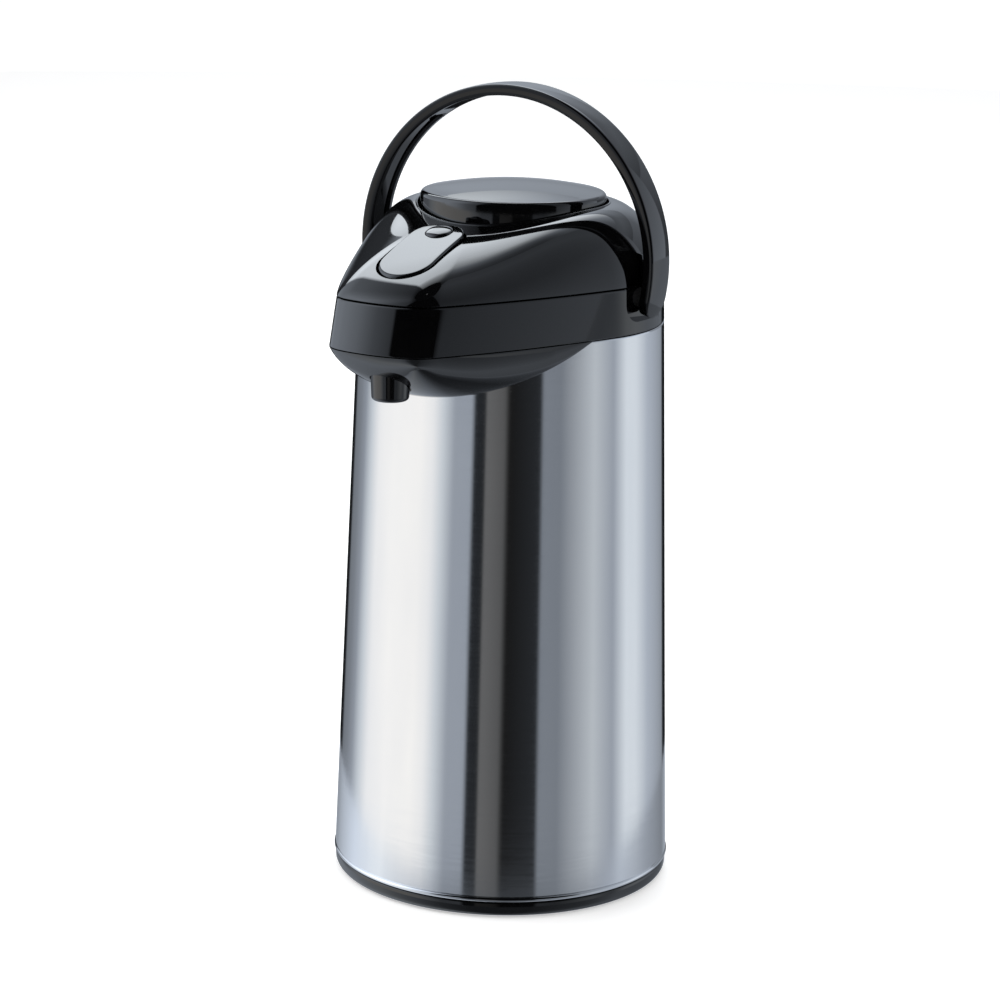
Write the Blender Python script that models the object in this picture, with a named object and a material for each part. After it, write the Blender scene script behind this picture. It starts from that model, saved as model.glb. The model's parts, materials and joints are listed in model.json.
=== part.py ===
"""Thermal coffee airpot: a pump-action vacuum jug with a beak spout, a hinged lid and a swinging hoop handle.

Metres, +Z up. The origin is the middle of the foot, on the table, and the beak points along -Y.
"""

import math

import bmesh
import bpy
from mathutils import Matrix, Vector

# Clearances
GAP = 0.0003
RUNNING_GAP = 0.0007
SEAM_SOFTNESS = 0.0004
EDGE_BLEND = 0.3
ROUND_STEPS = 48
SMALL_STEPS = 16
HIDDEN_STEPS = 20

# Foot and steel shell
PAD_THICKNESS = 0.0026
PAD_INSET = 0.014
BASE_CLEARANCE = 0.0008
BASE_HEIGHT = 0.0085
BASE_EDGE_RADIUS = 0.0036
BASE_FLOOR = 0.0025
BASE_WALL = 0.004
BASE_LOCATING_HEIGHT = 0.008
SHELL_BOTTOM_RADIUS = 0.085
SHELL_TAPER = 0.0092
SHELL_TOP_Z = 0.285
SHELL_WALL = 0.0008
SHELL_FLANGE = 0.006
SHELL_BEAD = 0.0004
SHELL_BEAD_HEIGHT = 0.0026

# Vacuum flask
CUSHION_HEIGHT = 0.012
CUSHION_WALL = 0.006
FLASK_MARGIN = 0.0078
FLASK_CORNER = 0.026
FLASK_GLASS = 0.0016
FLASK_VACUUM = 0.0045
FLASK_NECK_RADIUS = 0.027
FLASK_NECK_HEIGHT = 0.014
FLASK_LIP = 0.0016
NECK_GASKET_HEIGHT = 0.0034
NECK_GASKET_WIDTH = 0.006

# Head outline, seen from above
BAND_HEIGHT = 0.023
HEAD_TAPER = 0.0008
BEAK_LENGTH = 0.0487
BEAK_OVERHANG = 0.006
NOSE_RADIUS = 0.075
NOSE_HALF_ANGLE = math.radians(12.5)
CORNER_RADIUS = 0.019
FLANK_RADIUS = 0.466
NOSE_STEPS = 2
CORNER_STEPS = 4
FLANK_STEPS = 6
REAR_STEPS = 13

# Collar
COLLAR_WALL = 0.0115
COLLAR_RIM_WIDTH = 0.004
COLLAR_RIM_DROP = 0.0017
COLLAR_FLOOR = 0.003
COLLAR_NECK_RADIUS = 0.029
POCKET_DEPTH = 0.0075
POCKET_FRONT_Y = -0.017
POCKET_REAR_Y = 0.06
POCKET_LEDGE = 0.006
POCKET_CORNER = 0.009

# Chin under the beak
CHIN_DEPTH = 0.027
CHIN_HALF_ANGLE = math.radians(60.0)
CHIN_FALL_POWER = 1.8
CHIN_PROFILE_POWER = 1.55
CHIN_WALL = 0.0025
CHIN_SIDE_SHARE = 0.03
CHIN_THIN_SHARE = 0.35
CHIN_COLUMNS = 21
CHIN_ROWS = 6

# Spout
SPOUT_SETBACK = 0.0135
SPOUT_RADIUS = 0.0098
SPOUT_TIP_RADIUS = 0.0089
SPOUT_DROP = 0.024
SPOUT_SOCKET_DROP = 0.0045
SPOUT_BORE = 0.0052
SPOUT_EDGE = 0.002
SPOUT_STEPS = 28

# Stem and coffee way
STEM_PLUG_DEPTH = 0.02
STEM_FLANGE_WIDTH = 0.005
STEM_FLANGE = 0.002
STEM_GASKET_HEIGHT = 0.0015
STEM_AIR_HOLE = 0.005
DIP_TUBE_Y = -0.019
TUBE_RADIUS = 0.0045
TUBE_WALL = 0.001
TUBE_BEND = 0.0065
TUBE_SIDES = 10
DIP_TUBE_CLEAR = 0.012
ELBOW_REACH = 0.014

# Lid
LID_RIM_STEP = 0.0006
LID_HEIGHT = 0.0345
LID_RIM_FRONT_DROP = 0.003
LID_POWER = 1.55
LID_FRONT_POWER = 1.25
LID_FRONT_SPREAD = 5
LID_INNER_RINGS = 3
LID_FOOT_SHARE = 0.12
LID_RINGS = 8
LID_WALL = 0.010
LID_WELL_STEP = 0.0005
LID_LIP_WIDTH = 0.0014
LID_LIP_RISE = 0.0007
LID_LIP_DEPTH = 0.008
HINGE_INSET = 0.003
HINGE_BARREL = 0.0042
HINGE_CLEARANCE = 0.0005
HINGE_PIN = 0.0015
HINGE_LID_HALF = 0.0077
HINGE_HALF = 0.02
HINGE_TAB_DEPTH = 0.006
HINGE_TAB_HEIGHT = 0.008

# Air pump
PUMP_RADIUS = 0.0457
PUMP_STANDOUT = 0.0093
PUMP_DOME = 0.0045
PUMP_EDGE = 0.0032
PUMP_SKIRT_DEPTH = 0.0105
PUMP_SKIRT_WALL = 0.002
PUMP_BOSS_RADIUS = 0.009
HOUSING_WALL = 0.0016
HOUSING_FLOOR = 0.002
HOUSING_OUTLET_RADIUS = 0.0095
HOUSING_OUTLET_BORE = 0.005
LID_SEAL_HEIGHT = 0.0026
BELLOWS_INSET = 0.0097
BELLOWS_FOLD = 0.006
BELLOWS_FOLDS = 5
BELLOWS_WALL = 0.0009
BELLOWS_HEIGHT = 0.0235
SPRING_RADIUS = 0.02
SPRING_WIRE = 0.0008
SPRING_TURNS = 5
CURL_POINTS = 8

# Latch on the front slope of the lid
LATCH_FRONT_SETBACK = 0.014
LATCH_REAR_SETBACK = 0.013
LATCH_HALF_WIDTH = 0.0138
LATCH_RISE = 0.001
LATCH_DEPTH = 0.0012
LATCH_EDGE = 0.001
LATCH_GROOVE = 0.0012
LATCH_PIVOT_SHARE = 0.43
LATCH_PIVOT_DROP = 0.006
LATCH_PIN = 0.0015
LATCH_PIN_SLACK = 0.0003
LATCH_WEB_HALF = 0.004
LATCH_EAR = 0.003
LATCH_HOOK_SHARE = 0.79
LATCH_HOOK_THICKNESS = 0.004
LATCH_BUTTON_INSET = 0.0085
LATCH_BUTTON_RADIUS = 0.0067
LATCH_BUTTON_DOME = 0.0016
LATCH_BUTTON_FLANGE = 0.001
LATCH_SPRING_TURNS = 4
LATCH_SPRING_WIRE = 0.0004
CATCH_LEG = 0.003
CATCH_DEPTH = 0.004
CATCH_BAR = 0.003
CATCH_HOOK_GAP = 0.0005

# Hoop handle
HOOP_RISE = 0.0153
HOOP_STANDOFF = 0.0077
HOOP_THICKNESS = 0.0056
HOOP_WIDTH = 0.018
HOOP_EDGE = 0.001
HOOP_CROWN = 0.0006
HOOP_CHANNEL_WIDTH = 0.011
HOOP_CHANNEL_DEPTH = 0.0014
HOOP_CHANNEL_START = math.radians(50)
HOOP_STEPS = 42
PIVOT_DROP = 0.0065
PIVOT_BOSS = 0.0048
PIVOT_PIN = 0.003
PIVOT_PIN_SLACK = 0.0004
PIVOT_SKIN = 0.002

# Plan sizes that follow from the shell, the beak and the well
SHELL_TOP_RADIUS = SHELL_BOTTOM_RADIUS - SHELL_TAPER
PAD_RADIUS = SHELL_BOTTOM_RADIUS - PAD_INSET
FLASK_RADIUS = SHELL_TOP_RADIUS - FLASK_MARGIN
REAR_RADIUS_TOP = SHELL_TOP_RADIUS - HEAD_TAPER
NOSE_REACH_TOP = SHELL_TOP_RADIUS + BEAK_LENGTH
NOSE_REACH_BOTTOM = NOSE_REACH_TOP + BEAK_OVERHANG
POCKET_FLOOR_X = REAR_RADIUS_TOP - POCKET_DEPTH
HINGE_Y = REAR_RADIUS_TOP - HINGE_INSET
SPOUT_Y = SPOUT_SETBACK - NOSE_REACH_TOP
HOUSING_RADIUS = PUMP_RADIUS + RUNNING_GAP
LID_WELL_RADIUS = HOUSING_RADIUS + LID_WELL_STEP
LID_RIM_RADIUS = LID_WELL_RADIUS + LID_RIM_STEP
BELLOWS_RADIUS = PUMP_RADIUS - BELLOWS_INSET
STEM_FLANGE_RADIUS = COLLAR_NECK_RADIUS + STEM_FLANGE_WIDTH
LATCH_FRONT_Y = LATCH_FRONT_SETBACK - NOSE_REACH_TOP
LATCH_REAR_Y = -LID_RIM_RADIUS - LATCH_REAR_SETBACK
LATCH_LENGTH = LATCH_REAR_Y - LATCH_FRONT_Y
LATCH_PIVOT_Y = LATCH_REAR_Y - LATCH_PIVOT_SHARE * LATCH_LENGTH
LATCH_HOOK_Y = LATCH_REAR_Y - LATCH_HOOK_SHARE * LATCH_LENGTH
LATCH_BUTTON_Y = LATCH_REAR_Y - LATCH_BUTTON_INSET
HOOP_OUTER_RADIUS = REAR_RADIUS_TOP + HOOP_STANDOFF
HOOP_RADIUS = HOOP_OUTER_RADIUS - HOOP_THICKNESS / 2
HOOP_INNER_RADIUS = HOOP_OUTER_RADIUS - HOOP_THICKNESS

# Heights that follow from the stack of pieces
BASE_FLOOR_Z = PAD_THICKNESS + GAP
BASE_FLOOR_TOP = BASE_FLOOR_Z + BASE_FLOOR
FLASK_BOTTOM_Z = BASE_FLOOR_TOP + GAP + CUSHION_WALL + GAP
SEAM_Z = SHELL_TOP_Z + BAND_HEIGHT
LID_RIM_Z = SEAM_Z + LID_HEIGHT
LID_LIP_Z = LID_RIM_Z - LID_RIM_FRONT_DROP - LID_LIP_DEPTH
PUMP_TOP_Z = LID_RIM_Z + PUMP_STANDOUT
PUMP_SKIRT_Z = LID_RIM_Z - PUMP_SKIRT_DEPTH
PIVOT_Z = SEAM_Z - PIVOT_DROP
HOOP_CENTRE_Z = PIVOT_Z + HOOP_RISE
POCKET_LEDGE_Z = SHELL_TOP_Z + POCKET_LEDGE
SPOUT_TIP_Z = SHELL_TOP_Z - SPOUT_DROP
SPOUT_TOP_Z = SHELL_TOP_Z - SPOUT_SOCKET_DROP
COLLAR_BOTTOM_Z = SHELL_TOP_Z + GAP
COLLAR_FLOOR_Z = COLLAR_BOTTOM_Z + COLLAR_RIM_DROP
COLLAR_FLOOR_TOP = COLLAR_FLOOR_Z + COLLAR_FLOOR
NECK_TOP_Z = COLLAR_FLOOR_Z - NECK_GASKET_HEIGHT - 2 * GAP
STEM_GASKET_Z = COLLAR_FLOOR_TOP + GAP
STEM_FLANGE_Z = STEM_GASKET_Z + STEM_GASKET_HEIGHT + GAP
STEM_TOP_Z = STEM_FLANGE_Z + STEM_FLANGE
TUBE_Z = STEM_TOP_Z + GAP + TUBE_BEND
HOUSING_Z = TUBE_Z + TUBE_RADIUS + RUNNING_GAP
HOUSING_FLOOR_TOP = HOUSING_Z + HOUSING_FLOOR
LATCH_HOOK_Z = HOUSING_Z + GAP


def clear_scene():
    for item in list(bpy.data.objects):
        bpy.data.objects.remove(item, do_unlink=True)


def finish(name, colour, roughness, metallic=0.0):
    """A plain shaded material."""
    material = bpy.data.materials.new(name)
    material.use_nodes = True
    shader = material.node_tree.nodes["Principled BSDF"]
    shader.inputs["Base Color"].default_value = (*colour, 1)
    shader.inputs["Roughness"].default_value = roughness
    shader.inputs["Metallic"].default_value = metallic
    return material


def add_object(name, bm, material, parent=None):
    """An object from a bmesh, its faces turned outward and its round sides shaded smooth."""
    bmesh.ops.recalc_face_normals(bm, faces=bm.faces)
    mesh = bpy.data.meshes.new(name)
    bm.to_mesh(mesh)
    bm.free()
    mesh.shade_smooth()
    mesh.set_sharp_from_angle(angle=math.radians(35))
    item = bpy.data.objects.new(name, mesh)
    bpy.context.scene.collection.objects.link(item)
    if material:
        mesh.materials.append(material)
    if parent:
        mesh.transform(Matrix.Translation(-parent.location))
        item.parent = parent
    return item


def joint_frame(name, place):
    """An empty on a joint's axis, which carries the pieces of one moving body."""
    frame = bpy.data.objects.new(name, None)
    frame.location = place
    frame.empty_display_size = PIVOT_BOSS
    bpy.context.scene.collection.objects.link(frame)
    return frame


def hide_helper(item):
    item.hide_render = True
    item.display_type = "WIRE"


def combine(target, other, operation, solver="EXACT"):
    modifier = target.modifiers.new(operation.title(), "BOOLEAN")
    modifier.operation = operation
    modifier.solver = solver
    modifier.object = other
    hide_helper(other)


def turned(name, profile, material, centre=(0.0, 0.0), steps=ROUND_STEPS, parent=None):
    """A solid of revolution about a vertical axis, from an outline of (radius, height) points."""
    bm = bmesh.new()
    points = [bm.verts.new((radius, 0, height)) for radius, height in profile]
    edges = [bm.edges.new((a, b)) for a, b in zip(points, points[1:])]
    if profile[0][0] > 0 or profile[-1][0] > 0:
        edges.append(bm.edges.new((points[-1], points[0])))
    spun = {"geom": points + edges, "axis": (0, 0, 1), "cent": (0, 0, 0), "steps": steps}
    bmesh.ops.spin(bm, angle=2 * math.pi, use_merge=True, **spun)
    bmesh.ops.remove_doubles(bm, verts=bm.verts, dist=1e-6)
    bmesh.ops.translate(bm, verts=bm.verts, vec=(*centre, 0))
    return add_object(name, bm, material, parent)


def skinned(name, rings, material, closed=False, parent=None):
    """A solid through rings of equal count: a closed loop of rings, or a run of rings with two flat ends."""
    bm = bmesh.new()
    loops = [[bm.verts.new(point) for point in ring] for ring in rings]
    pairs = list(zip(loops, loops[1:]))
    if closed:
        pairs.append((loops[-1], loops[0]))
    else:
        bm.faces.new(loops[0])
        bm.faces.new(loops[-1])
    for first, second in pairs:
        for i in range(len(first)):
            bm.faces.new((first[i - 1], first[i], second[i], second[i - 1]))
    return add_object(name, bm, material, parent)


def block(name, low, high, material=None, parent=None):
    corners = [(low[0], low[1]), (high[0], low[1]), (high[0], high[1]), (low[0], high[1])]
    rings = [[(x, y, z) for x, y in corners] for z in (low[2], high[2])]
    return skinned(name, rings, material, parent=parent)


def cross_rod(name, radius, start_x, end_x, y, z, material=None, steps=SMALL_STEPS, parent=None):
    """A round rod along X."""
    turns = [2 * math.pi * (i + 0.4) / steps for i in range(steps)]
    circle = [(y + radius * math.cos(turn), z + radius * math.sin(turn)) for turn in turns]
    rings = [[(x, *point) for point in circle] for x in (start_x, end_x)]
    return skinned(name, rings, material, parent=parent)


def bored_tube(name, path, material, parent=None):
    """An open tube along a path of points in the YZ plane."""
    rings = []
    for radius, order in ((TUBE_RADIUS, 1), (TUBE_RADIUS - TUBE_WALL, -1)):
        for i in range(len(path))[::order]:
            ahead = Vector(path[min(i + 1, len(path) - 1)])
            behind = Vector(path[max(i - 1, 0)])
            side = Vector((1, 0, 0))
            up = side.cross((ahead - behind).normalized())
            turns = [2 * math.pi * k / TUBE_SIDES for k in range(TUBE_SIDES)]
            spokes = [side * math.cos(turn) + up * math.sin(turn) for turn in turns]
            rings.append([Vector(path[i]) + spoke * radius for spoke in spokes])
    return skinned(name, rings, material, closed=True, parent=parent)


def coil(name, place, axis_turn, radius, wire, height, turns, material, parent):
    """A helical spring, one unbroken tube, standing along Z before it is turned."""
    curve = bpy.data.curves.new(name, "CURVE")
    curve.dimensions = "3D"
    curve.bevel_depth = wire
    curve.bevel_resolution = 1
    curve.use_fill_caps = True
    spline = curve.splines.new("POLY")
    steps = turns * CURL_POINTS
    spline.points.add(steps)
    for i in range(steps + 1):
        angle = 2 * math.pi * i / CURL_POINTS
        rise = height * i / steps
        spline.points[i].co = (radius * math.cos(angle), radius * math.sin(angle), rise, 1)
    curve.materials.append(material)
    item = bpy.data.objects.new(name, curve)
    item.location = Vector(place) - parent.location
    item.rotation_euler = axis_turn
    item.parent = parent
    bpy.context.scene.collection.objects.link(item)
    print(name, "least gap between turns, mm:", round(1000 * (height / turns - 2 * wire), 2))
    return item


def shell_radius(z):
    """Outer radius of the tapered steel shell at a height."""
    share = (z - BASE_HEIGHT) / (SHELL_TOP_Z - BASE_HEIGHT)
    return SHELL_BOTTOM_RADIUS + (SHELL_TOP_RADIUS - SHELL_BOTTOM_RADIUS) * share


def head_outline(rear_radius, nose_reach, inset=0.0):
    """Plan of the head: blunt nose, two corners, bowed flanks and a round rear, as arcs that flow together.

    Each arc has a centre, a radius and the directions of its outward normal, from -Y round to +Y.
    """
    nose = Vector((0, NOSE_RADIUS - nose_reach))
    turn = Vector((math.sin(NOSE_HALF_ANGLE), -math.cos(NOSE_HALF_ANGLE)))
    corner = nose + turn * (NOSE_RADIUS - CORNER_RADIUS)
    from_rear = FLANK_RADIUS - rear_radius
    from_corner = FLANK_RADIUS - CORNER_RADIUS
    span = corner.length
    along = (from_rear**2 - from_corner**2 + span**2) / (2 * span)
    aside = math.sqrt(from_rear**2 - along**2)
    ahead = corner.normalized()
    flank = ahead * along + Vector((ahead.y, -ahead.x)) * aside
    corner_end = math.atan2(corner.x - flank.x, flank.y - corner.y)
    flank_end = math.atan2(-flank.x, flank.y)
    arcs = (
        (nose, NOSE_RADIUS, 0, NOSE_HALF_ANGLE, NOSE_STEPS),
        (corner, CORNER_RADIUS, NOSE_HALF_ANGLE, corner_end, CORNER_STEPS),
        (flank, FLANK_RADIUS, corner_end, flank_end, FLANK_STEPS),
        (Vector((0, 0)), rear_radius, flank_end, math.pi, REAR_STEPS),
    )
    half = []
    for centre, radius, start, end, steps in arcs:
        for i in range(steps):
            angle = start + (end - start) * i / steps
            half.append(centre + Vector((math.sin(angle), -math.cos(angle))) * (radius - inset))
    rear = Vector((0, rear_radius - inset))
    mirrored = [Vector((-point.x, point.y)) for point in half[:0:-1]]
    return half + [rear] + mirrored


def reach_along(outline, angle):
    """Distance from the axis to an outline, at an angle from the front."""
    heading = Vector((math.sin(angle), -math.cos(angle)))
    for i, end in enumerate(outline):
        start = outline[i - 1]
        edge = end - start
        turn = heading.x * edge.y - heading.y * edge.x
        if abs(turn) < 1e-12:
            continue
        distance = (start.x * edge.y - start.y * edge.x) / turn
        share = (start.x * heading.y - start.y * heading.x) / turn
        if distance > 0 and -1e-9 <= share <= 1 + 1e-9:
            return distance
    raise ValueError("the outline doesn't go round the axis")


def level(outline, z):
    return [(point.x, point.y, z) for point in outline]


def round_like(outline, radius, z):
    """A circle with one point on the spoke of each point of an outline."""
    return [(*(point.normalized() * radius), z) for point in outline]


def rim_height(angle):
    """Height of the lid's well rim, a little lower at the front."""
    return LID_RIM_Z - LID_RIM_FRONT_DROP * max(0, math.cos(angle)) ** 2


def lid_power(angle):
    """Fullness of the lid's dome: rounder at the sides and back than on the front slope."""
    return LID_POWER + (LID_FRONT_POWER - LID_POWER) * max(0, math.cos(angle)) ** LID_FRONT_SPREAD


def lid_top():
    return head_outline(REAR_RADIUS_TOP, NOSE_REACH_TOP)


def lid_height(x, y):
    """Height of the lid's outer skin above a point of the plan."""
    angle = math.atan2(x, -y)
    edge = reach_along(lid_top(), angle)
    share = min(1, max(0, (math.hypot(x, y) - LID_RIM_RADIUS) / (edge - LID_RIM_RADIUS)))
    power = lid_power(angle)
    rise = (1 - share**power) ** (1 / power)
    return SEAM_Z + (rim_height(angle) - SEAM_Z) * rise


def dome_ring(outline, turn, inner_radius, foot_z, lift=0.0):
    """One ring of the lid's dome, between the seam (turn 0) and the well (a quarter turn)."""
    ring = []
    for point in outline:
        angle = math.atan2(point.x, -point.y)
        share = max(0, math.cos(turn)) ** (2 / lid_power(angle))
        rise = math.sin(turn) ** (2 / lid_power(angle))
        radius = inner_radius + (point.length - inner_radius) * share
        top = rim_height(angle) + lift
        ring.append((*(point.normalized() * radius), foot_z + (top - foot_z) * rise))
    return ring


def build_foot(paint):
    pad_edge = PAD_THICKNESS * EDGE_BLEND
    pad = [(0, 0), (PAD_RADIUS - pad_edge, 0), (PAD_RADIUS, pad_edge)]
    pad += [(PAD_RADIUS, PAD_THICKNESS), (0, PAD_THICKNESS)]
    turned("base_pad", pad, paint["rubber"], steps=HIDDEN_STEPS)
    outer = SHELL_BOTTOM_RADIUS - GAP
    top = BASE_HEIGHT - GAP
    lip = SHELL_BOTTOM_RADIUS - SHELL_FLANGE - GAP
    cap = [(0, BASE_FLOOR_Z), (PAD_RADIUS + GAP, BASE_FLOOR_Z), (PAD_RADIUS + GAP, BASE_CLEARANCE)]
    middle = (outer - BASE_EDGE_RADIUS, BASE_CLEARANCE + BASE_EDGE_RADIUS)
    for i in range(7):
        angle = math.pi / 2 * (i / 6 - 1)
        reach = (BASE_EDGE_RADIUS * math.cos(angle), BASE_EDGE_RADIUS * math.sin(angle))
        cap.append((middle[0] + reach[0], middle[1] + reach[1]))
    cap += [(outer, top), (lip, top), (lip, top + BASE_LOCATING_HEIGHT)]
    cap += [(lip - BASE_WALL, top + BASE_LOCATING_HEIGHT), (lip - BASE_WALL, BASE_FLOOR_TOP)]
    cap.append((0, BASE_FLOOR_TOP))
    turned("base_cap", cap, paint["black_gloss"])


def build_shell(paint):
    foot = SHELL_BOTTOM_RADIUS
    bead_z = BASE_HEIGHT + SHELL_BEAD_HEIGHT
    skin = [(foot - SHELL_FLANGE, BASE_HEIGHT), (foot - SHELL_BEAD, BASE_HEIGHT)]
    skin += [(foot + SHELL_BEAD, BASE_HEIGHT + SHELL_BEAD_HEIGHT * 0.3)]
    skin += [(foot + SHELL_BEAD, BASE_HEIGHT + SHELL_BEAD_HEIGHT * 0.7), (shell_radius(bead_z), bead_z)]
    skin += [(shell_radius(SHELL_TOP_Z - SHELL_WALL), SHELL_TOP_Z - SHELL_WALL)]
    skin += [(SHELL_TOP_RADIUS - SHELL_WALL, SHELL_TOP_Z), (SHELL_TOP_RADIUS - SHELL_FLANGE, SHELL_TOP_Z)]
    under = SHELL_TOP_Z - SHELL_WALL
    skin += [(SHELL_TOP_RADIUS - SHELL_FLANGE, under), (shell_radius(under) - 1.5 * SHELL_WALL, under)]
    inside = BASE_HEIGHT + SHELL_WALL
    skin += [(shell_radius(inside) - SHELL_WALL, inside), (foot - SHELL_FLANGE, inside)]
    turned("outer_shell", skin, paint["steel"])


def flask_side(radius, neck, bottom_z, top_z):
    """Side of a bottle from its middle bottom to its neck: round heel, straight wall, round shoulder."""
    corner = FLASK_CORNER - (FLASK_RADIUS - radius)
    neck_z = NECK_TOP_Z - FLASK_NECK_HEIGHT
    side = [(0, bottom_z)]
    for i in range(5):
        angle = math.pi / 2 * (i / 4 - 1)
        heel = (radius - corner + corner * math.cos(angle), bottom_z + corner + corner * math.sin(angle))
        side.append(heel)
    shoulder = (radius - neck) * 0.5
    for i in range(5):
        angle = math.pi / 2 * i / 4
        drop = radius - neck
        side.append((neck + drop * math.cos(angle), neck_z - shoulder + shoulder * math.sin(angle)))
    side.append((neck, top_z))
    return side


def build_flask(paint):
    seat = BASE_FLOOR_TOP + GAP
    inner = FLASK_RADIUS - FLASK_CORNER
    cup = [(inner - 2 * CUSHION_WALL, seat), (FLASK_RADIUS - FLASK_CORNER * 0.5, seat)]
    rest = FLASK_BOTTOM_Z - GAP
    cup += [(FLASK_RADIUS + GAP, seat + CUSHION_WALL), (FLASK_RADIUS + GAP, seat + CUSHION_HEIGHT)]
    for i in range(5):
        angle = -math.radians(28) - (math.pi / 2 - math.radians(28)) * i / 4
        reach = FLASK_CORNER + GAP
        cup.append((inner + reach * math.cos(angle), FLASK_BOTTOM_Z + FLASK_CORNER + reach * math.sin(angle)))
    cup.append((inner - 2 * CUSHION_WALL, rest))
    turned("flask_cushion", cup, paint["rubber"], steps=HIDDEN_STEPS)
    lip_z = NECK_TOP_Z - FLASK_LIP
    neck_outer = FLASK_NECK_RADIUS + FLASK_GLASS + FLASK_VACUUM * 0.5
    outer = flask_side(FLASK_RADIUS, neck_outer + FLASK_GLASS, FLASK_BOTTOM_Z, lip_z - GAP)
    hollow = flask_side(FLASK_RADIUS - FLASK_GLASS, neck_outer, FLASK_BOTTOM_Z + FLASK_GLASS, lip_z - GAP)
    turned("flask_outer_wall", outer + hollow[::-1], paint["mirror_glass"], steps=HIDDEN_STEPS)
    radius = FLASK_RADIUS - FLASK_GLASS - FLASK_VACUUM
    bottom = FLASK_BOTTOM_Z + FLASK_GLASS + FLASK_VACUUM
    body = flask_side(radius, FLASK_NECK_RADIUS + FLASK_GLASS, bottom, lip_z)
    body += [(neck_outer + FLASK_GLASS, lip_z), (neck_outer + FLASK_GLASS, NECK_TOP_Z)]
    bore = flask_side(radius - FLASK_GLASS, FLASK_NECK_RADIUS, bottom + FLASK_GLASS, NECK_TOP_Z)
    turned("flask_inner_wall", body + bore[::-1], paint["mirror_glass"], steps=HIDDEN_STEPS)
    low = NECK_TOP_Z + GAP
    high = low + NECK_GASKET_HEIGHT
    ring = [(COLLAR_NECK_RADIUS, low), (COLLAR_NECK_RADIUS + NECK_GASKET_WIDTH, low)]
    ring += [(COLLAR_NECK_RADIUS + NECK_GASKET_WIDTH, high), (COLLAR_NECK_RADIUS, high)]
    turned("neck_gasket", ring, paint["rubber"], steps=HIDDEN_STEPS)


def pocket_cutter(name, side):
    """Side recess for one leg of the handle, with a round lower front corner, cut in collar and lid alike."""
    outline = [(POCKET_REAR_Y, POCKET_LEDGE_Z), (POCKET_REAR_Y, LID_RIM_Z), (POCKET_FRONT_Y, LID_RIM_Z)]
    for i in range(6):
        angle = math.pi + math.pi / 2 * i / 5
        centre = (POCKET_FRONT_Y + POCKET_CORNER, POCKET_LEDGE_Z + POCKET_CORNER)
        place = (centre[0] + POCKET_CORNER * math.cos(angle), centre[1] + POCKET_CORNER * math.sin(angle))
        outline.append(place)
    reaches = (POCKET_FLOOR_X, SHELL_BOTTOM_RADIUS)
    return skinned(name, [[(side * reach, *point) for point in outline] for reach in reaches], None)


def upright_cutter(name, radius, y, low, high):
    return turned(name, [(0, low), (radius, low), (radius, high), (0, high)], None, (0, y), SMALL_STEPS)


def add_knuckles(target, spans, up, solver="EXACT"):
    """Hinge barrels on a lid or a collar: clear the edge round the axis, add the barrels and bore them."""
    name = target.name
    clear = HINGE_BARREL + HINGE_CLEARANCE
    room = HINGE_HALF + GAP
    combine(target, cross_rod(name + ".room", clear, -room, room, HINGE_Y, SEAM_Z), "DIFFERENCE", solver)
    for i, (start, end) in enumerate(spans):
        barrel = cross_rod(f"{name}.barrel{i}", HINGE_BARREL, start, end, HINGE_Y, SEAM_Z)
        near = SEAM_Z + up * HINGE_CLEARANCE * 2
        far = SEAM_Z + up * HINGE_TAB_HEIGHT
        low = (start, HINGE_Y - HINGE_TAB_DEPTH, min(near, far))
        high = (end, HINGE_Y - HINGE_PIN / 4, max(near, far))
        combine(target, barrel, "UNION", solver)
        combine(target, block(f"{name}.tab{i}", low, high), "UNION", solver)
    bore = cross_rod(name + ".bore", HINGE_PIN + GAP, -2 * room, 2 * room, HINGE_Y, SEAM_Z)
    combine(target, bore, "DIFFERENCE", solver)


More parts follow.
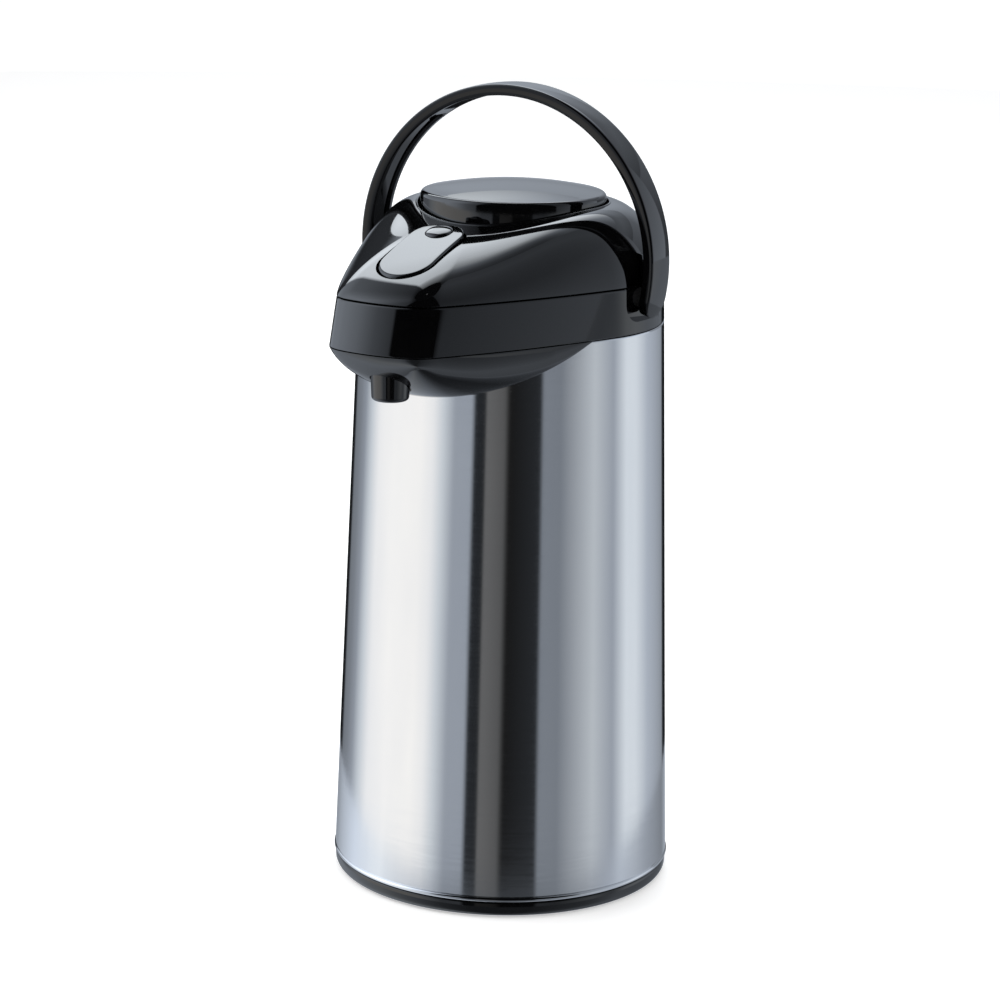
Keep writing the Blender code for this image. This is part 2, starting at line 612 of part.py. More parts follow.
def build_collar(paint):
    top = SEAM_Z - GAP / 2
    low_edge = head_outline(SHELL_TOP_RADIUS, NOSE_REACH_BOTTOM)
    high_edge = lid_top()
    inner = head_outline(REAR_RADIUS_TOP, NOSE_REACH_TOP, COLLAR_WALL)
    rings = [
        level(head_outline(SHELL_TOP_RADIUS, NOSE_REACH_BOTTOM, SEAM_SOFTNESS), COLLAR_BOTTOM_Z),
        level(low_edge, COLLAR_BOTTOM_Z + SEAM_SOFTNESS),
        level(high_edge, top - SEAM_SOFTNESS),
        level(head_outline(REAR_RADIUS_TOP, NOSE_REACH_TOP, SEAM_SOFTNESS), top),
        level(inner, top),
        level(inner, COLLAR_FLOOR_TOP),
        round_like(inner, COLLAR_NECK_RADIUS, COLLAR_FLOOR_TOP),
        round_like(inner, COLLAR_NECK_RADIUS, COLLAR_FLOOR_Z),
        level(head_outline(SHELL_TOP_RADIUS, NOSE_REACH_BOTTOM, COLLAR_RIM_WIDTH), COLLAR_FLOOR_Z),
        level(head_outline(SHELL_TOP_RADIUS, NOSE_REACH_BOTTOM, COLLAR_RIM_WIDTH), COLLAR_BOTTOM_Z),
    ]
    collar = skinned("collar", rings, paint["black_gloss"], closed=True)
    for side in (-1, 1):
        combine(collar, pocket_cutter(f"collar.pocket{side}", side), "DIFFERENCE", "MANIFOLD")
        reach = (side * (POCKET_FLOOR_X - COLLAR_WALL), side * SHELL_BOTTOM_RADIUS)
        hole = cross_rod(f"collar.pivot{side}", PIVOT_PIN + PIVOT_PIN_SLACK, *reach, 0, PIVOT_Z)
        combine(collar, hole, "DIFFERENCE", "MANIFOLD")
    way = (COLLAR_BOTTOM_Z - COLLAR_WALL, TUBE_Z + TUBE_RADIUS)
    hole = upright_cutter("collar.spout_way", TUBE_RADIUS + RUNNING_GAP, SPOUT_Y, *way)
    combine(collar, hole, "DIFFERENCE", "MANIFOLD")
    ends = (HINGE_LID_HALF + GAP, HINGE_HALF)
    add_knuckles(collar, [ends, (-ends[1], -ends[0])], -1, "MANIFOLD")
    pin = (HINGE_PIN, GAP - HINGE_HALF, HINGE_HALF - GAP, HINGE_Y, SEAM_Z)
    cross_rod("lid_hinge_pin", *pin, paint["spring_steel"])


def build_chin(paint):
    """Bowl under the beak: each spoke falls from the beak's edge to its own height on the shell."""
    edge = head_outline(SHELL_TOP_RADIUS, NOSE_REACH_BOTTOM)
    columns = []
    for i in range(CHIN_COLUMNS):
        angle = CHIN_HALF_ANGLE * (2 * i / (CHIN_COLUMNS - 1) - 1)
        depth = CHIN_DEPTH * (1 + CHIN_SIDE_SHARE - abs(angle / CHIN_HALF_ANGLE) ** CHIN_FALL_POWER)
        reach = reach_along(edge, angle)
        wall = min(CHIN_WALL, CHIN_THIN_SHARE * (reach - SHELL_TOP_RADIUS), CHIN_THIN_SHARE * depth)
        heading = (math.sin(angle), -math.cos(angle))
        column = []
        for thickness, order in ((0, 1), (wall, -1)):
            for k in range(CHIN_ROWS + 1)[::order]:
                turn = math.pi / 2 * k / CHIN_ROWS
                out = max(0, math.cos(turn)) ** (2 / CHIN_PROFILE_POWER)
                z = SHELL_TOP_Z - (depth - thickness) * math.sin(turn) ** (2 / CHIN_PROFILE_POWER)
                near = shell_radius(SHELL_TOP_Z - depth) + GAP
                radius = near + (reach - thickness - near) * out
                column.append((radius * heading[0], radius * heading[1], z))
        columns.append(column)
    chin = skinned("beak_under_cover", columns, paint["black_gloss"])
    hole = upright_cutter("chin.spout", SPOUT_RADIUS + GAP, SPOUT_Y, SPOUT_TIP_Z - SPOUT_RADIUS, SPOUT_TOP_Z)
    combine(chin, hole, "DIFFERENCE")
    nozzle = [(SPOUT_BORE, SPOUT_TOP_Z), (SPOUT_BORE, SPOUT_TIP_Z)]
    for i in range(5):
        angle = math.pi / 2 * (i / 4 - 1)
        middle = (SPOUT_TIP_RADIUS - SPOUT_EDGE, SPOUT_TIP_Z + SPOUT_EDGE)
        nozzle.append((middle[0] + SPOUT_EDGE * math.cos(angle), middle[1] + SPOUT_EDGE * math.sin(angle)))
    nozzle.append((SPOUT_RADIUS, SPOUT_TOP_Z))
    turned("spout_nozzle", nozzle, paint["black_gloss"], (0, SPOUT_Y), SPOUT_STEPS)


def bend(centre, start, end, steps=4):
    """Quarter bend of the coffee way in the YZ plane, round a centre."""
    turns = [start + (end - start) * i / steps for i in range(steps + 1)]
    places = [(math.cos(turn) * TUBE_BEND, math.sin(turn) * TUBE_BEND) for turn in turns]
    return [(0, centre[0] + y, centre[1] + z) for y, z in places]


def build_stem(paint):
    low, high = STEM_GASKET_Z, STEM_GASKET_Z + STEM_GASKET_HEIGHT
    ring = [(COLLAR_NECK_RADIUS, low), (STEM_FLANGE_RADIUS, low), (STEM_FLANGE_RADIUS, high)]
    turned("stem_gasket", ring + [(COLLAR_NECK_RADIUS, high)], paint["rubber"], steps=HIDDEN_STEPS)
    plug_radius = FLASK_NECK_RADIUS - RUNNING_GAP
    foot = STEM_FLANGE_Z - STEM_PLUG_DEPTH
    body = [(STEM_AIR_HOLE, foot), (plug_radius - RUNNING_GAP, foot), (plug_radius, foot + RUNNING_GAP)]
    body += [(plug_radius, STEM_FLANGE_Z), (STEM_FLANGE_RADIUS, STEM_FLANGE_Z)]
    body += [(STEM_FLANGE_RADIUS, STEM_TOP_Z), (STEM_AIR_HOLE, STEM_TOP_Z)]
    plug = turned("stem_plug", body, paint["black_plastic"], steps=HIDDEN_STEPS)
    span = (foot - STEM_PLUG_DEPTH, STEM_TOP_Z + STEM_PLUG_DEPTH)
    combine(plug, upright_cutter("stem.tube_way", TUBE_RADIUS + GAP, DIP_TUBE_Y, *span), "DIFFERENCE")
    start = FLASK_BOTTOM_Z + FLASK_GLASS * 2 + FLASK_VACUUM + DIP_TUBE_CLEAR
    turn_z = TUBE_Z - TUBE_BEND
    socket_z = turn_z - TUBE_RADIUS
    bored_tube("dip_tube", [(0, DIP_TUBE_Y, start), (0, DIP_TUBE_Y, socket_z - GAP)], paint["clear_tube"])
    rise = [(0, DIP_TUBE_Y, socket_z)]
    rise += bend((DIP_TUBE_Y - TUBE_BEND, turn_z), 0, math.pi / 2)
    joint_y = DIP_TUBE_Y - TUBE_BEND - ELBOW_REACH
    bored_tube("stem_elbow", rise + [(0, joint_y, TUBE_Z)], paint["black_plastic"])
    fall = bend((SPOUT_Y + TUBE_BEND, turn_z), math.pi / 2, math.pi)
    outlet = (0, SPOUT_Y, SPOUT_TOP_Z - SPOUT_EDGE)
    bored_tube("delivery_tube", [(0, joint_y - GAP, TUBE_Z)] + fall + [outlet], paint["clear_tube"])


def build_lid(paint, frame):
    foot_z = SEAM_Z + GAP / 2
    edge = lid_top()
    rings = [level(head_outline(REAR_RADIUS_TOP, NOSE_REACH_TOP, SEAM_SOFTNESS), foot_z)]
    quarter = math.pi / 2
    for i in range(LID_RINGS + 1):
        turn = quarter * (i + LID_FOOT_SHARE) / (LID_RINGS + LID_FOOT_SHARE)
        rings.append(dome_ring(edge, turn, LID_RIM_RADIUS + LID_LIP_WIDTH, foot_z))
    rings.append(dome_ring(edge, quarter, LID_RIM_RADIUS + LID_LIP_WIDTH / 2, foot_z, LID_LIP_RISE))
    rings.append(dome_ring(edge, quarter, LID_WELL_RADIUS, foot_z))
    rings.append(round_like(edge, LID_WELL_RADIUS, LID_LIP_Z))
    inner_edge = head_outline(REAR_RADIUS_TOP, NOSE_REACH_TOP, LID_WALL)
    shoulder = HOUSING_RADIUS + HOUSING_WALL + RUNNING_GAP
    for i in range(LID_INNER_RINGS + 1):
        turn = quarter * (1 - i / LID_INNER_RINGS)
        share = max(0, math.cos(turn)) ** (2 / LID_POWER)
        rise = max(0, math.sin(turn)) ** (2 / LID_POWER)
        z = foot_z + (LID_LIP_Z - foot_z) * rise
        reaches = [shoulder + (point.length - shoulder) * share for point in inner_edge]
        rings.append([(*(point.normalized() * reach), z) for point, reach in zip(inner_edge, reaches)])
    lid = skinned("lid_cover", rings, paint["black_gloss"], closed=True)
    for side in (-1, 1):
        combine(lid, pocket_cutter(f"lid.pocket{side}", side), "DIFFERENCE")
    slot = latch_plan(LATCH_GROOVE)
    depths = (SEAM_Z - LID_WALL, LID_RIM_Z)
    groove = skinned("lid.latch_slot", [[(*point, z) for point in slot] for z in depths], None)
    combine(lid, groove, "DIFFERENCE")
    pivot_z = lid_height(0, LATCH_PIVOT_Y) - LATCH_PIVOT_DROP
    ear_start = LATCH_HALF_WIDTH + LATCH_GROOVE + GAP
    for side in (-1, 1):
        ends = sorted((side * ear_start, side * (ear_start + LATCH_EAR)))
        low = (ends[0], LATCH_PIVOT_Y - LATCH_EAR, pivot_z - LATCH_EAR)
        high = (ends[1], LATCH_PIVOT_Y + LATCH_EAR, lid_height(ear_start, LATCH_PIVOT_Y) - LATCH_DEPTH)
        combine(lid, block(f"lid.ear{side}", low, high), "UNION")
    reach = ear_start + LATCH_EAR
    through = reach + GAP
    bore = cross_rod("lid.latch_bore", LATCH_PIN + LATCH_PIN_SLACK, -through, through, LATCH_PIVOT_Y, pivot_z)
    combine(lid, bore, "DIFFERENCE")
    add_knuckles(lid, [(-HINGE_LID_HALF, HINGE_LID_HALF)], 1)
    hang(lid, frame)
    pin = (LATCH_PIN, GAP - reach, reach - GAP, LATCH_PIVOT_Y, pivot_z)
    cross_rod("latch_pivot_pin", *pin, paint["spring_steel"], parent=frame)
    spring_span = LATCH_HALF_WIDTH - LATCH_WEB_HALF - 3 * RUNNING_GAP
    place = (LATCH_WEB_HALF + RUNNING_GAP, LATCH_PIVOT_Y, pivot_z)
    radius = LATCH_PIN + LATCH_PIN_SLACK + GAP + LATCH_SPRING_WIRE
    size = (radius, LATCH_SPRING_WIRE, spring_span, LATCH_SPRING_TURNS)
    coil("latch_spring", place, (0, math.pi / 2, 0), *size, paint["spring_steel"], frame)


def hang(item, frame):
    """Puts a finished piece under the empty on its joint's axis, in the same place."""
    item.data.transform(Matrix.Translation(-frame.location))
    item.parent = frame
    for modifier in item.modifiers:
        modifier.object.data.transform(Matrix.Translation(-frame.location))
        modifier.object.parent = frame


def build_pump_inside(paint, frame):
    outer = HOUSING_RADIUS + HOUSING_WALL
    top = LID_LIP_Z - GAP
    outlet_z = STEM_TOP_Z + GAP + LID_SEAL_HEIGHT + GAP
    cup = [(HOUSING_OUTLET_BORE, outlet_z), (HOUSING_OUTLET_RADIUS, outlet_z)]
    cup += [(HOUSING_OUTLET_RADIUS, HOUSING_Z), (outer, HOUSING_Z), (outer, top), (HOUSING_RADIUS, top)]
    cup += [(HOUSING_RADIUS, HOUSING_FLOOR_TOP), (HOUSING_OUTLET_BORE, HOUSING_FLOOR_TOP)]
    turned("bellows_housing", cup, paint["black_plastic"], steps=HIDDEN_STEPS, parent=frame)
    low = STEM_TOP_Z + GAP
    seal = [(HOUSING_OUTLET_BORE, low), (HOUSING_OUTLET_RADIUS, low)]
    seal += [(HOUSING_OUTLET_RADIUS, low + LID_SEAL_HEIGHT), (HOUSING_OUTLET_BORE, low + LID_SEAL_HEIGHT)]
    turned("lid_seal", seal, paint["rubber"], steps=SMALL_STEPS, parent=frame)
    foot = HOUSING_FLOOR_TOP + GAP
    head = foot + BELLOWS_HEIGHT
    pitch = (BELLOWS_HEIGHT - BELLOWS_WALL) / (2 * BELLOWS_FOLDS)
    outside = []
    for i in range(2 * BELLOWS_FOLDS + 1):
        outside.append((BELLOWS_RADIUS - BELLOWS_FOLD * (i % 2), foot + pitch * i))
    inside = [(radius - BELLOWS_WALL, z) for radius, z in outside[::-1]]
    skin = [(0, head - BELLOWS_WALL)] + inside + outside + [(BELLOWS_RADIUS, head), (0, head)]
    turned("bellows", skin, paint["rubber"], steps=HIDDEN_STEPS, parent=frame)
    spring_foot = foot + SPRING_WIRE
    height = BELLOWS_HEIGHT - BELLOWS_WALL - 2 * SPRING_WIRE - 2 * GAP
    size = (SPRING_RADIUS, SPRING_WIRE, height, SPRING_TURNS)
    coil("pump_spring", (0, 0, spring_foot), (0, 0, 0), *size, paint["spring_steel"], frame)


def build_pump_button(paint, frame):
    bellows_top = HOUSING_FLOOR_TOP + GAP + BELLOWS_HEIGHT
    crease = PUMP_RADIUS - PUMP_EDGE
    crease_z = PUMP_TOP_Z - PUMP_DOME
    ball = (crease**2 + PUMP_DOME**2) / (2 * PUMP_DOME)
    skin = []
    for i in range(5):
        radius = crease * i / 4
        skin.append((radius, PUMP_TOP_Z - ball + math.sqrt(ball**2 - radius**2)))
    for i in range(1, 5):
        angle = math.pi / 2 * (1 - i / 4)
        drop = PUMP_EDGE * (1 - math.sin(angle))
        skin.append((crease + PUMP_EDGE * math.cos(angle), crease_z - drop))
    inner = PUMP_RADIUS - PUMP_SKIRT_WALL
    ceiling = crease_z - PUMP_EDGE
    skin += [(PUMP_RADIUS, PUMP_SKIRT_Z), (inner, PUMP_SKIRT_Z), (inner, ceiling)]
    skin += [(PUMP_BOSS_RADIUS, ceiling), (PUMP_BOSS_RADIUS, bellows_top + GAP), (0, bellows_top + GAP)]
    turned("pump_button", skin, paint["black_gloss"], parent=frame)


def latch_plan(grow=0.0):
    """Plan of the latch lever: a bar with a half-round front end and a softly rounded rear end."""
    half = LATCH_HALF_WIDTH + grow
    front = LATCH_FRONT_Y + LATCH_HALF_WIDTH
    rear_radius = LATCH_HALF_WIDTH * 0.75
    plan = []
    for i in range(11):
        angle = math.pi * (1 + i / 10)
        plan.append((half * math.cos(angle), front + half * math.sin(angle)))
    for side, start in ((1, 0), (-1, math.pi / 2)):
        centre = (side * (LATCH_HALF_WIDTH - rear_radius), LATCH_REAR_Y - rear_radius)
        for i in range(4):
            angle = start + math.pi / 2 * i / 3
            reach = rear_radius + grow
            plan.append((centre[0] + reach * math.cos(angle), centre[1] + reach * math.sin(angle)))
    return plan


def build_latch(paint, lever_frame, button_frame):
    middle_y = (LATCH_FRONT_Y + LATCH_REAR_Y) / 2

    def ring(inset, rise, shrink=1.0):
        points = []
        for x, y in latch_plan(-inset):
            place = (x * shrink, middle_y + (y - middle_y) * shrink)
            points.append((*place, lid_height(*place) + rise))
        return points

    shrinks = (0.75, 0.5, 0.25, 0.06)
    under = [ring(LATCH_EDGE, -LATCH_DEPTH, shrink) for shrink in shrinks[::-1]]
    over = [ring(LATCH_EDGE, LATCH_RISE, shrink) for shrink in shrinks]
    sides = [ring(0, -LATCH_DEPTH), ring(0, LATCH_RISE - LATCH_EDGE)]
    softer = LATCH_EDGE * EDGE_BLEND
    sides += [ring(softer, LATCH_RISE - softer), ring(LATCH_EDGE, LATCH_RISE)]
    lever = skinned("latch_lever", under + sides + over, paint["black_gloss"])
    pivot_z = lid_height(0, LATCH_PIVOT_Y) - LATCH_PIVOT_DROP
    web_low = (-LATCH_WEB_HALF, LATCH_PIVOT_Y - LATCH_WEB_HALF, pivot_z - LATCH_PIN * 2)
    web_high = (LATCH_WEB_HALF, LATCH_PIVOT_Y + LATCH_WEB_HALF, lid_height(0, LATCH_PIVOT_Y))
    combine(lever, block("lever.web", web_low, web_high), "UNION")
    hook_low = (-LATCH_WEB_HALF, LATCH_HOOK_Y - LATCH_HOOK_THICKNESS / 2, LATCH_HOOK_Z)
    hook_high = (LATCH_WEB_HALF, LATCH_HOOK_Y + LATCH_HOOK_THICKNESS / 2, lid_height(0, LATCH_HOOK_Y))
    combine(lever, block("lever.hook", hook_low, hook_high), "UNION")
    reach = LATCH_HALF_WIDTH
    bore = cross_rod("lever.bore", LATCH_PIN + LATCH_PIN_SLACK, -reach, reach, LATCH_PIVOT_Y, pivot_z)
    combine(lever, bore, "DIFFERENCE")
    seat_z = lid_height(0, LATCH_BUTTON_Y)
    tilt = Matrix.Translation((0, LATCH_BUTTON_Y, seat_z)) @ Matrix.Rotation(button_tilt(), 4, "X")
    depth = LATCH_DEPTH + LATCH_RISE
    hole_radius = LATCH_BUTTON_RADIUS + GAP
    profile = [(0, -3 * depth), (hole_radius, -3 * depth), (hole_radius, 3 * depth), (0, 3 * depth)]
    hole = turned("lever.button_hole", profile, None, steps=SMALL_STEPS)
    hole.data.transform(tilt)
    combine(lever, hole, "DIFFERENCE")
    hang(lever, lever_frame)
    under_z = -LATCH_DEPTH - LATCH_EDGE - GAP
    brim = LATCH_BUTTON_RADIUS + LATCH_BUTTON_FLANGE
    button = [(0, LATCH_RISE + LATCH_BUTTON_DOME)]
    for i in range(1, 6):
        angle = math.pi / 2 * (1 - i / 5)
        dome = LATCH_RISE + LATCH_BUTTON_DOME * math.sin(angle)
        button.append((LATCH_BUTTON_RADIUS * math.cos(angle), dome))
    button += [(LATCH_BUTTON_RADIUS, under_z), (brim, under_z), (brim, under_z - LATCH_BUTTON_FLANGE)]
    button.append((0, under_z - LATCH_BUTTON_FLANGE))
    cap = turned("latch_button", button, paint["black_gloss"], steps=SMALL_STEPS)
    cap.data.transform(tilt)
    hang(cap, button_frame)


def button_tilt():
    """Slope of the lid under the latch button, as a turn about X."""
    step = LATCH_BUTTON_RADIUS
    rise = lid_height(0, LATCH_BUTTON_Y + step) - lid_height(0, LATCH_BUTTON_Y - step)
    return math.atan2(rise, 2 * step)


def build_catch(paint):
    """Bridge over the coffee way, behind the latch hook."""
    front = LATCH_HOOK_Y + LATCH_HOOK_THICKNESS / 2 + CATCH_HOOK_GAP
    inner = TUBE_RADIUS + RUNNING_GAP + GAP
    top = HOUSING_Z + CATCH_BAR
    foot = COLLAR_FLOOR_TOP + GAP
    outer = inner + CATCH_LEG
    arch = [(-outer, foot), (-inner, foot), (-inner, HOUSING_Z), (inner, HOUSING_Z)]
    arch += [(inner, foot), (outer, foot), (outer, top), (-outer, top)]
    rings = [[(x, y, z) for x, z in arch] for y in (front, front + CATCH_DEPTH)]
    skinned("latch_catch", rings, paint["black_plastic"])


def hoop_section(half_width, depth):
    """Section of the hoop as (outward, along Y) points: crowned outside, channelled inside."""
    half = HOOP_THICKNESS / 2
    edge = min(HOOP_EDGE, half_width * 0.4)
    softer = edge * EDGE_BLEND
    corner = [(half - edge, half_width), (half - softer, half_width - softer), (half, half_width - edge)]
    channel = half_width * HOOP_CHANNEL_WIDTH / HOOP_WIDTH
    side = [(out, -y) for out, y in corner]
    side.append((half + HOOP_CROWN * half_width / HOOP_WIDTH, 0))
    side += corner[::-1]
    inside = [(edge - half, half_width), (-half, half_width - edge), (-half, channel + edge * 0.6)]
    inside.append((depth - half, channel))
    return side + inside + [(out, -y) for out, y in inside[::-1]]


def build_handle(paint, frame):
    """Hoop: one section swept round an arch, drawn to a round end below each pivot."""
    half_width = HOOP_WIDTH / 2
    pivot_angle = -math.asin((HOOP_CENTRE_Z - PIVOT_Z) / HOOP_RADIUS)
    end_angle = pivot_angle - half_width / HOOP_RADIUS
    angles = []
    for i in range(6):
        angles.append(pivot_angle - math.sin(math.pi / 2 * (1 - i / 6)) * (pivot_angle - end_angle) * 0.995)
    steps = HOOP_STEPS - 10
    angles += [pivot_angle + (math.pi - 2 * pivot_angle) * i / steps for i in range(steps + 1)]
    angles += [math.pi - angle for angle in angles[5::-1]]
    rings = []
    for angle in angles:
        below = max(0, pivot_angle - angle, angle - math.pi + pivot_angle) * HOOP_RADIUS
        width = math.sqrt(max(0, half_width**2 - below**2))
        from_top = abs(angle - math.pi / 2)
        ramp = min(1, max(0, (from_top - HOOP_CHANNEL_START) / math.radians(8)))
        section = hoop_section(width, HOOP_CHANNEL_DEPTH * ramp * width / half_width)
        ring = []
        for out, y in section:
            radius = HOOP_RADIUS + out
            ring.append((radius * math.cos(angle), y, HOOP_CENTRE_Z + radius * math.sin(angle)))
        rings.append(ring)
    hoop = skinned("handle", rings, paint["black_gloss"])
    leg_drop = HOOP_CENTRE_Z - PIVOT_Z
    leg_outside = math.sqrt(HOOP_OUTER_RADIUS**2 - leg_drop**2)
    boss_drop = leg_drop + PIVOT_BOSS
    leg_inside = math.sqrt(HOOP_INNER_RADIUS**2 - boss_drop**2)
    for side, label in ((-1, "left"), (1, "right")):
        blind = leg_outside - PIVOT_SKIN
        reach = (side * POCKET_FLOOR_X, side * blind)
        bore = cross_rod(f"handle.bore{side}", PIVOT_PIN + PIVOT_PIN_SLACK, *reach, 0, PIVOT_Z)
        combine(hoop, bore, "DIFFERENCE", "MANIFOLD")
        stops = ((POCKET_FLOOR_X - COLLAR_WALL / 4, PIVOT_PIN), (POCKET_FLOOR_X + GAP, PIVOT_PIN))
        stops += ((POCKET_FLOOR_X + GAP, PIVOT_BOSS), (leg_inside - GAP, PIVOT_BOSS))
        stops += ((leg_inside - GAP, PIVOT_PIN), (blind - GAP, PIVOT_PIN))
        turns = [2 * math.pi * i / SMALL_STEPS for i in range(SMALL_STEPS)]
        rings = []
        for x, radius in stops:
            places = [(radius * math.cos(turn), PIVOT_Z + radius * math.sin(turn)) for turn in turns]
            rings.append([(side * x, *place) for place in places])
        skinned(f"handle_pivot_{label}", rings, paint["black_plastic"])
    hang(hoop, frame)


def main():
    clear_scene()
    paint = {
        "steel": finish("brushed_steel", (0.62, 0.62, 0.63), 0.22, 1.0),
        "black_gloss": finish("black_gloss_plastic", (0.012, 0.012, 0.013), 0.12),
        "black_plastic": finish("black_plastic", (0.02, 0.02, 0.02), 0.45),
        "rubber": finish("black_rubber", (0.03, 0.03, 0.03), 0.8),
        "mirror_glass": finish("silvered_glass", (0.8, 0.82, 0.83), 0.08, 0.9),
        "clear_tube": finish("food_grade_tube", (0.75, 0.76, 0.75), 0.3),
        "spring_steel": finish("spring_steel", (0.5, 0.5, 0.5), 0.3, 1.0),
    }
    build_foot(paint)
    build_shell(paint)
    build_flask(paint)
    build_collar(paint)
    build_chin(paint)
    build_stem(paint)
    build_catch(paint)
    lid_frame = joint_frame("lid_hinge", (0, HINGE_Y, SEAM_Z))
    build_lid(paint, lid_frame)
    build_pump_inside(paint, lid_frame)
    build_pump_button(paint, joint_frame("pump_press", (0, 0, PUMP_SKIRT_Z)))
    pivot = (0, LATCH_PIVOT_Y, lid_height(0, LATCH_PIVOT_Y) - LATCH_PIVOT_DROP)
    press = (0, LATCH_BUTTON_Y, lid_height(0, LATCH_BUTTON_Y))
    build_latch(paint, joint_frame("latch_rock", pivot), joint_frame("button_press", press))
    build_handle(paint, joint_frame("handle_swing", (0, 0, PIVOT_Z)))


main()
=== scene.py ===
"""Looks of the thermal coffee airpot: finely shaped shells, finishes, studio light and camera.

Metres, in the CAD frame: +Z up, the beak along -Y. Azimuths are counted from -Y towards +X.
"""

import json
import math

import bmesh
import bpy
from mathutils import Matrix, Vector


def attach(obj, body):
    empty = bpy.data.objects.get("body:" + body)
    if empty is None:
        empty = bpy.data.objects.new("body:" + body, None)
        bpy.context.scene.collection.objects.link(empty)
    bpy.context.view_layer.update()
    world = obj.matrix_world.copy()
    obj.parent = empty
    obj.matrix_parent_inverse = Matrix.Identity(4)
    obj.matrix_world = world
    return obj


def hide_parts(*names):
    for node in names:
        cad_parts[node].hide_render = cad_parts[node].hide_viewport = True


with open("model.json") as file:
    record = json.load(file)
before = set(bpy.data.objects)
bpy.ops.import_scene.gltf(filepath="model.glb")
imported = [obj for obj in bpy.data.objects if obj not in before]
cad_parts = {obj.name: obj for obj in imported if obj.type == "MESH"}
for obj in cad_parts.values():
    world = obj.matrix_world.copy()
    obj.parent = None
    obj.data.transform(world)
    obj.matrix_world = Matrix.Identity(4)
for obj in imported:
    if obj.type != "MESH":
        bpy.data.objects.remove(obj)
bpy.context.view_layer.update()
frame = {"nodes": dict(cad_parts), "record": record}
nodes = frame["nodes"]

# Resolution of the finished shells
ROUND_STEPS = 192
SMALL_STEPS = 64
SHARP_ANGLE = math.radians(32)
GAP = 0.0003
SEAM_ROUND = 0.0005
QUARTER = math.pi / 2

# Body
BASE_HEIGHT = 0.0085
BASE_EDGE_RADIUS = 0.0036
BASE_CLEARANCE = 0.0008
PAD_RADIUS = 0.071
PAD_THICKNESS = 0.0026
SHELL_BOTTOM_RADIUS = 0.085
SHELL_TOP_RADIUS = 0.0758
SHELL_TOP_Z = 0.285
SHELL_FLANGE = 0.006
SHELL_BEAD = 0.0004
SHELL_BEAD_HEIGHT = 0.0026
SHELL_WALL = 0.0008

# Head
SEAM_Z = 0.308
REAR_RADIUS_TOP = 0.075
NOSE_REACH_TOP = 0.1245
NOSE_REACH_BOTTOM = 0.1305
NOSE_RADIUS = 0.075
NOSE_HALF_ANGLE = math.radians(12.5)
CORNER_RADIUS = 0.019
FLANK_RADIUS = 0.466
ARC_STEPS = (8, 20, 40, 60)
COLLAR_WALL = 0.0115
BAND_SHARES = (0.022, 0.04, 0.2, 0.4, 0.6, 0.8, 0.96, 0.978)
COLLAR_FLOOR_TOP = 0.29
COLLAR_FLOOR = 0.003
COLLAR_NECK_RADIUS = 0.029
COLLAR_RIM_WIDTH = 0.004
TUBE_TOP_Z = 0.3054
HINGE_Y = 0.072
HINGE_BARREL = 0.0042
HINGE_CLEARANCE = 0.0005
HINGE_PIN = 0.0015
HINGE_LID_HALF = 0.0077
HINGE_HALF = 0.02
HINGE_TAB_DEPTH = 0.006
HINGE_TAB_HEIGHT = 0.008
POCKET_FLOOR_X = 0.0675
POCKET_FRONT_Y = -0.017
POCKET_REAR_Y = 0.06
POCKET_LEDGE_Z = 0.291
POCKET_CORNER = 0.009
POCKET_LEAN = 0.21
PIVOT_Z = 0.3015
PIVOT_HOLE = 0.0034
CHIN_DEPTH = 0.027
CHIN_HALF_ANGLE = math.radians(60)
CHIN_FALL_POWER = 1.8
CHIN_PROFILE_POWER = 1.55
CHIN_SIDE_SHARE = 0.03
CHIN_WALL = 0.0025
CHIN_COLUMNS = 121
CHIN_SOFT_SPAN = 16
CHIN_ROWS = 40
SPOUT_Y = -0.111
SPOUT_RADIUS = 0.0098
SPOUT_TIP_RADIUS = 0.0089
SPOUT_TIP_Z = 0.261
SPOUT_TOP_Z = 0.2805
SPOUT_BORE = 0.0052
SPOUT_EDGE = 0.002

# Lid, pump and latch
LID_RIM_RADIUS = 0.0475
LID_RIM_Z = 0.3425
LID_RIM_FRONT_DROP = 0.0068
LID_SIDE_FORM = (1.95, 0.67)
LID_FRONT_FORM = (1.45, 0.7)
LID_FRONT_SPREAD = 6
LID_INNER_POWER = 1.55
LID_LIP_WIDTH = 0.0005
LID_LIP_RISE = 0.0005
LID_WELL_RADIUS = 0.0469
LID_LIP_Z = 0.3315
LID_WALL = 0.01
LID_RINGS = 56
PUMP_RADIUS = 0.0457
PUMP_TOP_Z = 0.3518
PUMP_DOME = 0.0045
PUMP_EDGE = 0.0025
PUMP_SKIRT_Z = 0.332
PUMP_SKIRT_WALL = 0.002
PUMP_BOSS_RADIUS = 0.009
PUMP_BOSS_Z = 0.3322
PUMP_STROKE = 0.02
BELLOWS_FOOT_Z = 0.3084
BELLOWS_RADIUS = 0.036
BELLOWS_FOLD = 0.006
BELLOWS_FOLDS = 5
BELLOWS_WALL = 0.0009
SPRING_RADIUS = 0.02
SPRING_WIRE = 0.0008
SPRING_TURNS = 5
LATCH_FRONT_Y = -0.1105
LATCH_REAR_Y = -0.0605
LATCH_HALF_WIDTH = 0.0138
LATCH_RISE = 0.001
LATCH_TAIL_RISE = 0.0022
LATCH_DEPTH = 0.0012
LATCH_EDGE = 0.001
LATCH_GROOVE = 0.0013
LATCH_REAR_ROUND = 0.9
LATCH_SIDE_STEPS = 24
LATCH_ROWS = 16
LATCH_PIVOT_Y = -0.082
LATCH_PIVOT_DROP = 0.006
LATCH_HOLE = 0.0018
LATCH_EAR = 0.003
LATCH_WEB_HALF = 0.004
LATCH_HOOK_Y = -0.1
LATCH_HOOK_THICKNESS = 0.004
LATCH_HOOK_Z = 0.3064
LATCH_BUTTON_Y = -0.069
